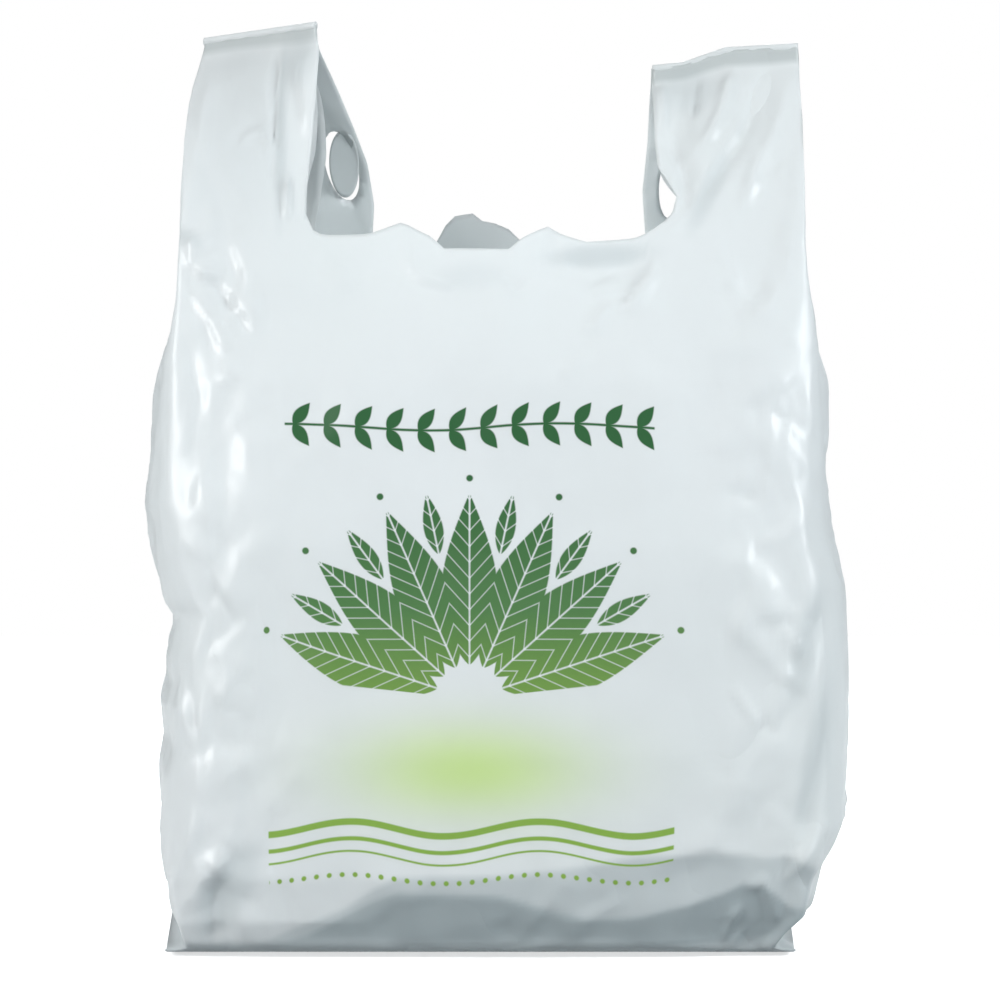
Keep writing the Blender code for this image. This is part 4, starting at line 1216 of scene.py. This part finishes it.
def tube_piece(name, points, turned, settings):
    """A closed bar through rings of points, with its rings turned round on request."""
    rows, count = points.shape[:2]
    index = np.arange(rows * count).reshape(rows, count)
    following = np.roll(index, -1, 1)
    quads = np.stack([index[:-1], following[:-1], following[1:], index[1:]], -1).reshape(-1, 4)
    faces = quads.tolist() + [index[0][::-1].tolist(), index[-1].tolist()]
    if turned:
        faces = [face[::-1] for face in faces]
    return mesh_piece(name, points.reshape(-1, 3).tolist(), faces, film_material(settings, printed=False))


def seen_share(tree):
    """1 for rays that show the background: from the camera, a gloss or through glass."""
    path = tree.nodes.new("ShaderNodeLightPath")
    seen = Field(tree, path.outputs["Is Camera Ray"]).most(Field(tree, path.outputs["Is Glossy Ray"]))
    return seen.most(Field(tree, path.outputs["Is Transmission Ray"]))


def stage_floor(settings):
    """A square floor, grey to the light that it throws back and white when seen, with
    the object's shadow kept."""
    size = settings.floor_size / 2
    corners = [(-size, -size, 0), (size, -size, 0), (size, size, 0), (-size, size, 0)]
    mesh = bpy.data.meshes.new("stage_floor")
    mesh.from_pydata(corners, [], [(0, 1, 2, 3)])
    floor = bpy.data.objects.new("stage_floor", mesh)
    bpy.context.scene.collection.objects.link(floor)
    material = bpy.data.materials.new("floor")
    material.use_nodes = True
    tree = material.node_tree
    bounced = tree.nodes["Principled BSDF"]
    bounced.inputs["Base Color"].default_value = (*settings.floor_colour[:3], 1.0)
    bounced.inputs["Roughness"].default_value = FLOOR_ROUGHNESS
    bounced.inputs["Specular IOR Level"].default_value = FLOOR_GLOSS
    white = tree.nodes.new("ShaderNodeBsdfDiffuse")
    white.inputs["Color"].default_value = FLOOR_WHITE
    glow = tree.nodes.new("ShaderNodeEmission")
    glow.inputs["Strength"].default_value = settings.floor_glow
    bright = tree.nodes.new("ShaderNodeAddShader")
    tree.links.new(white.outputs[0], bright.inputs[0])
    tree.links.new(glow.outputs[0], bright.inputs[1])
    mix = tree.nodes.new("ShaderNodeMixShader")
    tree.links.new(seen_share(tree).socket, mix.inputs[0])
    tree.links.new(bounced.outputs[0], mix.inputs[1])
    tree.links.new(bright.outputs[0], mix.inputs[2])
    tree.links.new(mix.outputs[0], tree.nodes["Material Output"].inputs["Surface"])
    mesh.materials.append(material)


def stage_world(settings):
    """An even light all round, plain white where it is seen."""
    world = bpy.data.worlds.new("studio")
    bpy.context.scene.world = world
    world.use_nodes = True
    tree = world.node_tree
    fill = tree.nodes["Background"]
    fill.inputs["Color"].default_value = (*settings.fill_colour[:3], 1.0)
    fill.inputs["Strength"].default_value = settings.fill_strength
    seen = tree.nodes.new("ShaderNodeBackground")
    seen.inputs["Color"].default_value = (1.0, 1.0, 1.0, 1.0)
    path = tree.nodes.new("ShaderNodeLightPath")
    mix = tree.nodes.new("ShaderNodeMixShader")
    tree.links.new(path.outputs["Is Camera Ray"], mix.inputs[0])
    tree.links.new(fill.outputs[0], mix.inputs[1])
    tree.links.new(seen.outputs[0], mix.inputs[2])
    tree.links.new(mix.outputs[0], tree.nodes["World Output"].inputs["Surface"])


def lamp(name, place, size, colour, power):
    """An area lamp that faces the middle of the bag."""
    light = bpy.data.lights.new(name, "AREA")
    light.shape = "RECTANGLE"
    light.size, light.size_y = size
    light.energy = power
    light.color = colour
    made = bpy.data.objects.new(name, light)
    bpy.context.scene.collection.objects.link(made)
    made.location = place
    aim = np.array(LAMP_AIM) - np.array(place)
    made.rotation_euler = (
        math.acos(-aim[2] / np.linalg.norm(aim)), 0.0, math.atan2(aim[1], aim[0]) - math.pi / 2,
    )


def stage_camera():
    data = bpy.data.cameras.new("camera")
    data.lens = CAMERA_LENS
    data.sensor_width = SENSOR_WIDTH
    camera = bpy.data.objects.new("camera", data)
    bpy.context.scene.collection.objects.link(camera)
    camera.location = CAMERA_PLACE
    camera.rotation_euler = (math.pi / 2, 0.0, 0.0)
    bpy.context.scene.camera = camera


def colour_setting(name, description, default):
    return bpy.props.FloatVectorProperty(
        name=name, description=description, subtype="COLOR", size=3, min=0, max=1, default=default)


def length_setting(name, description, default):
    return bpy.props.FloatProperty(
        name=name, description=description, unit="LENGTH", precision=5, default=default)


class BagSettings(bpy.types.PropertyGroup):
    film_colour: colour_setting("Film colour", "Colour of the bare film", (0.790, 0.815, 0.825))
    film_shade: colour_setting("Film shade", "Colour of the film's denser clouds", (0.740, 0.775, 0.775))
    # Painted shade: the greyer colour of the band at the handle tops
    top_shade_colour: colour_setting(
        "Painted handle top shade", "Colour where the plies of a handle are pressed", (0.600, 0.640, 0.640))
    # Painted shade: the greyer colour that stands for shadow at the foot and in patches
    foot_shade_colour: colour_setting(
        "Painted foot shade", "Colour of the greyest film, at the foot", (0.470, 0.530, 0.545))
    film_translucency: bpy.props.FloatProperty(
        name="Translucency", description="Share of light that passes through the film",
        subtype="FACTOR", min=0, max=1, default=0.42)
    film_roughness: bpy.props.FloatProperty(
        name="Roughness", description="Mean roughness of the film", subtype="FACTOR", min=0, max=1,
        default=0.36)
    film_wall: length_setting("Film wall", "Thickness of the film", 0.0002)
    crinkle_depth: length_setting("Crinkle depth", "Depth of the film's finest crinkles", 0.0050)
    fold_scale: bpy.props.FloatProperty(
        name="Fold depth", description="Scale of the film's creases and facets", default=1.0)
    seal_thickness: length_setting("Seal thickness", "Thickness of a pressed top seal", 0.0030)
    seal_height: length_setting("Seal height", "Height of a pressed top seal", 0.0042)
    foot_seal_depth: length_setting("Foot seal depth", "Depth of the folded foot seal", 0.0060)
    ink_dark: colour_setting("Dark ink", "Ink at the top of the print", (0.036, 0.150, 0.052))
    ink_mid: colour_setting("Middle ink", "Ink halfway up the print", (0.100, 0.250, 0.085))
    ink_lime: colour_setting("Lime ink", "Ink at the foot of the print", (0.290, 0.480, 0.085))
    ink_glow: colour_setting("Glow ink", "Pale tint at the foot of the fan", (0.620, 0.780, 0.320))


class StageSettings(bpy.types.PropertyGroup):
    floor_size: bpy.props.FloatProperty(
        name="Floor size", description="Side of the square floor", unit="LENGTH", default=8.0)
    floor_colour: colour_setting("Floor colour", "Colour that the floor throws back", (0.10, 0.11, 0.13))
    floor_glow: bpy.props.FloatProperty(
        name="Floor glow", description="Light added to the floor where it is seen", default=0.62)
    fill_colour: colour_setting("Fill colour", "Colour of the light all round", (0.96, 0.98, 1.0))
    fill_strength: bpy.props.FloatProperty(
        name="Fill", description="Strength of the light all round", default=0.40)
    key_power: bpy.props.FloatProperty(
        name="Key lamp", description="Power of the key lamp", unit="POWER", default=47.0)
    side_power: bpy.props.FloatProperty(
        name="Side lamp", description="Power of the side lamp", unit="POWER", default=40.0)
    back_power: bpy.props.FloatProperty(
        name="Back lamp", description="Power of the lamp behind", unit="POWER", default=26.0)


class BAG_OT_film(bpy.types.Operator):
    """Build the creased and printed film of the bag"""

    bl_idname = "bag.film"
    bl_label = "Film"

    def execute(self, context):
        film_piece(context.scene.bag_settings)
        return {"FINISHED"}


class BAG_OT_flap(bpy.types.Operator):
    """Build the punched oval that still hangs in the left back strap"""

    bl_idname = "bag.flap"
    bl_label = "Flap"

    def execute(self, context):
        flap_piece(context.scene.bag_settings)
        return {"FINISHED"}


class BAG_OT_seals(bpy.types.Operator):
    """Build the pressed seals of the two handle tops and the foot"""

    bl_idname = "bag.seals"
    bl_label = "Seals"

    def execute(self, context):
        settings = context.scene.bag_settings
        seal_piece("left_top_seal", -1, settings)
        seal_piece("right_top_seal", 1, settings)
        foot_seal_piece(settings)
        return {"FINISHED"}


class BAG_OT_stage(bpy.types.Operator):
    """Build the floor, the light and the camera"""

    bl_idname = "bag.stage"
    bl_label = "Stage"

    def execute(self, context):
        settings = context.scene.bag_stage
        stage_floor(settings)
        stage_world(settings)
        lamp("key", *KEY_LAMP, settings.key_power)
        lamp("side", *SIDE_LAMP, settings.side_power)
        lamp("back", *BACK_LAMP, settings.back_power)
        stage_camera()
        context.scene.view_settings.view_transform = "Standard"
        return {"FINISHED"}


class BAG_PT_panel(bpy.types.Panel):
    bl_label = "Carrier bag"
    bl_idname = "BAG_PT_panel"
    bl_space_type = "VIEW_3D"
    bl_region_type = "UI"
    bl_category = "Bag"

    def draw(self, context):
        for operator in (BAG_OT_film, BAG_OT_flap, BAG_OT_seals, BAG_OT_stage):
            self.layout.operator(operator.bl_idname)
        for settings in (context.scene.bag_settings, context.scene.bag_stage):
            for name in settings.bl_rna.properties.keys():
                if name not in ("rna_type", "name"):
                    self.layout.prop(settings, name)


CLASSES = (
    BagSettings, StageSettings, BAG_OT_film, BAG_OT_flap, BAG_OT_seals, BAG_OT_stage, BAG_PT_panel,
)


def register():
    for made in CLASSES:
        bpy.utils.register_class(made)
    bpy.types.Scene.bag_settings = bpy.props.PointerProperty(type=BagSettings)
    bpy.types.Scene.bag_stage = bpy.props.PointerProperty(type=StageSettings)


def unregister():
    del bpy.types.Scene.bag_stage
    del bpy.types.Scene.bag_settings
    for made in reversed(CLASSES):
        bpy.utils.unregister_class(made)


def main():
    register()
    bpy.ops.bag.film()
    bpy.ops.bag.flap()
    bpy.ops.bag.seals()
    bpy.ops.bag.stage()


if __name__ == "__main__":
    main()
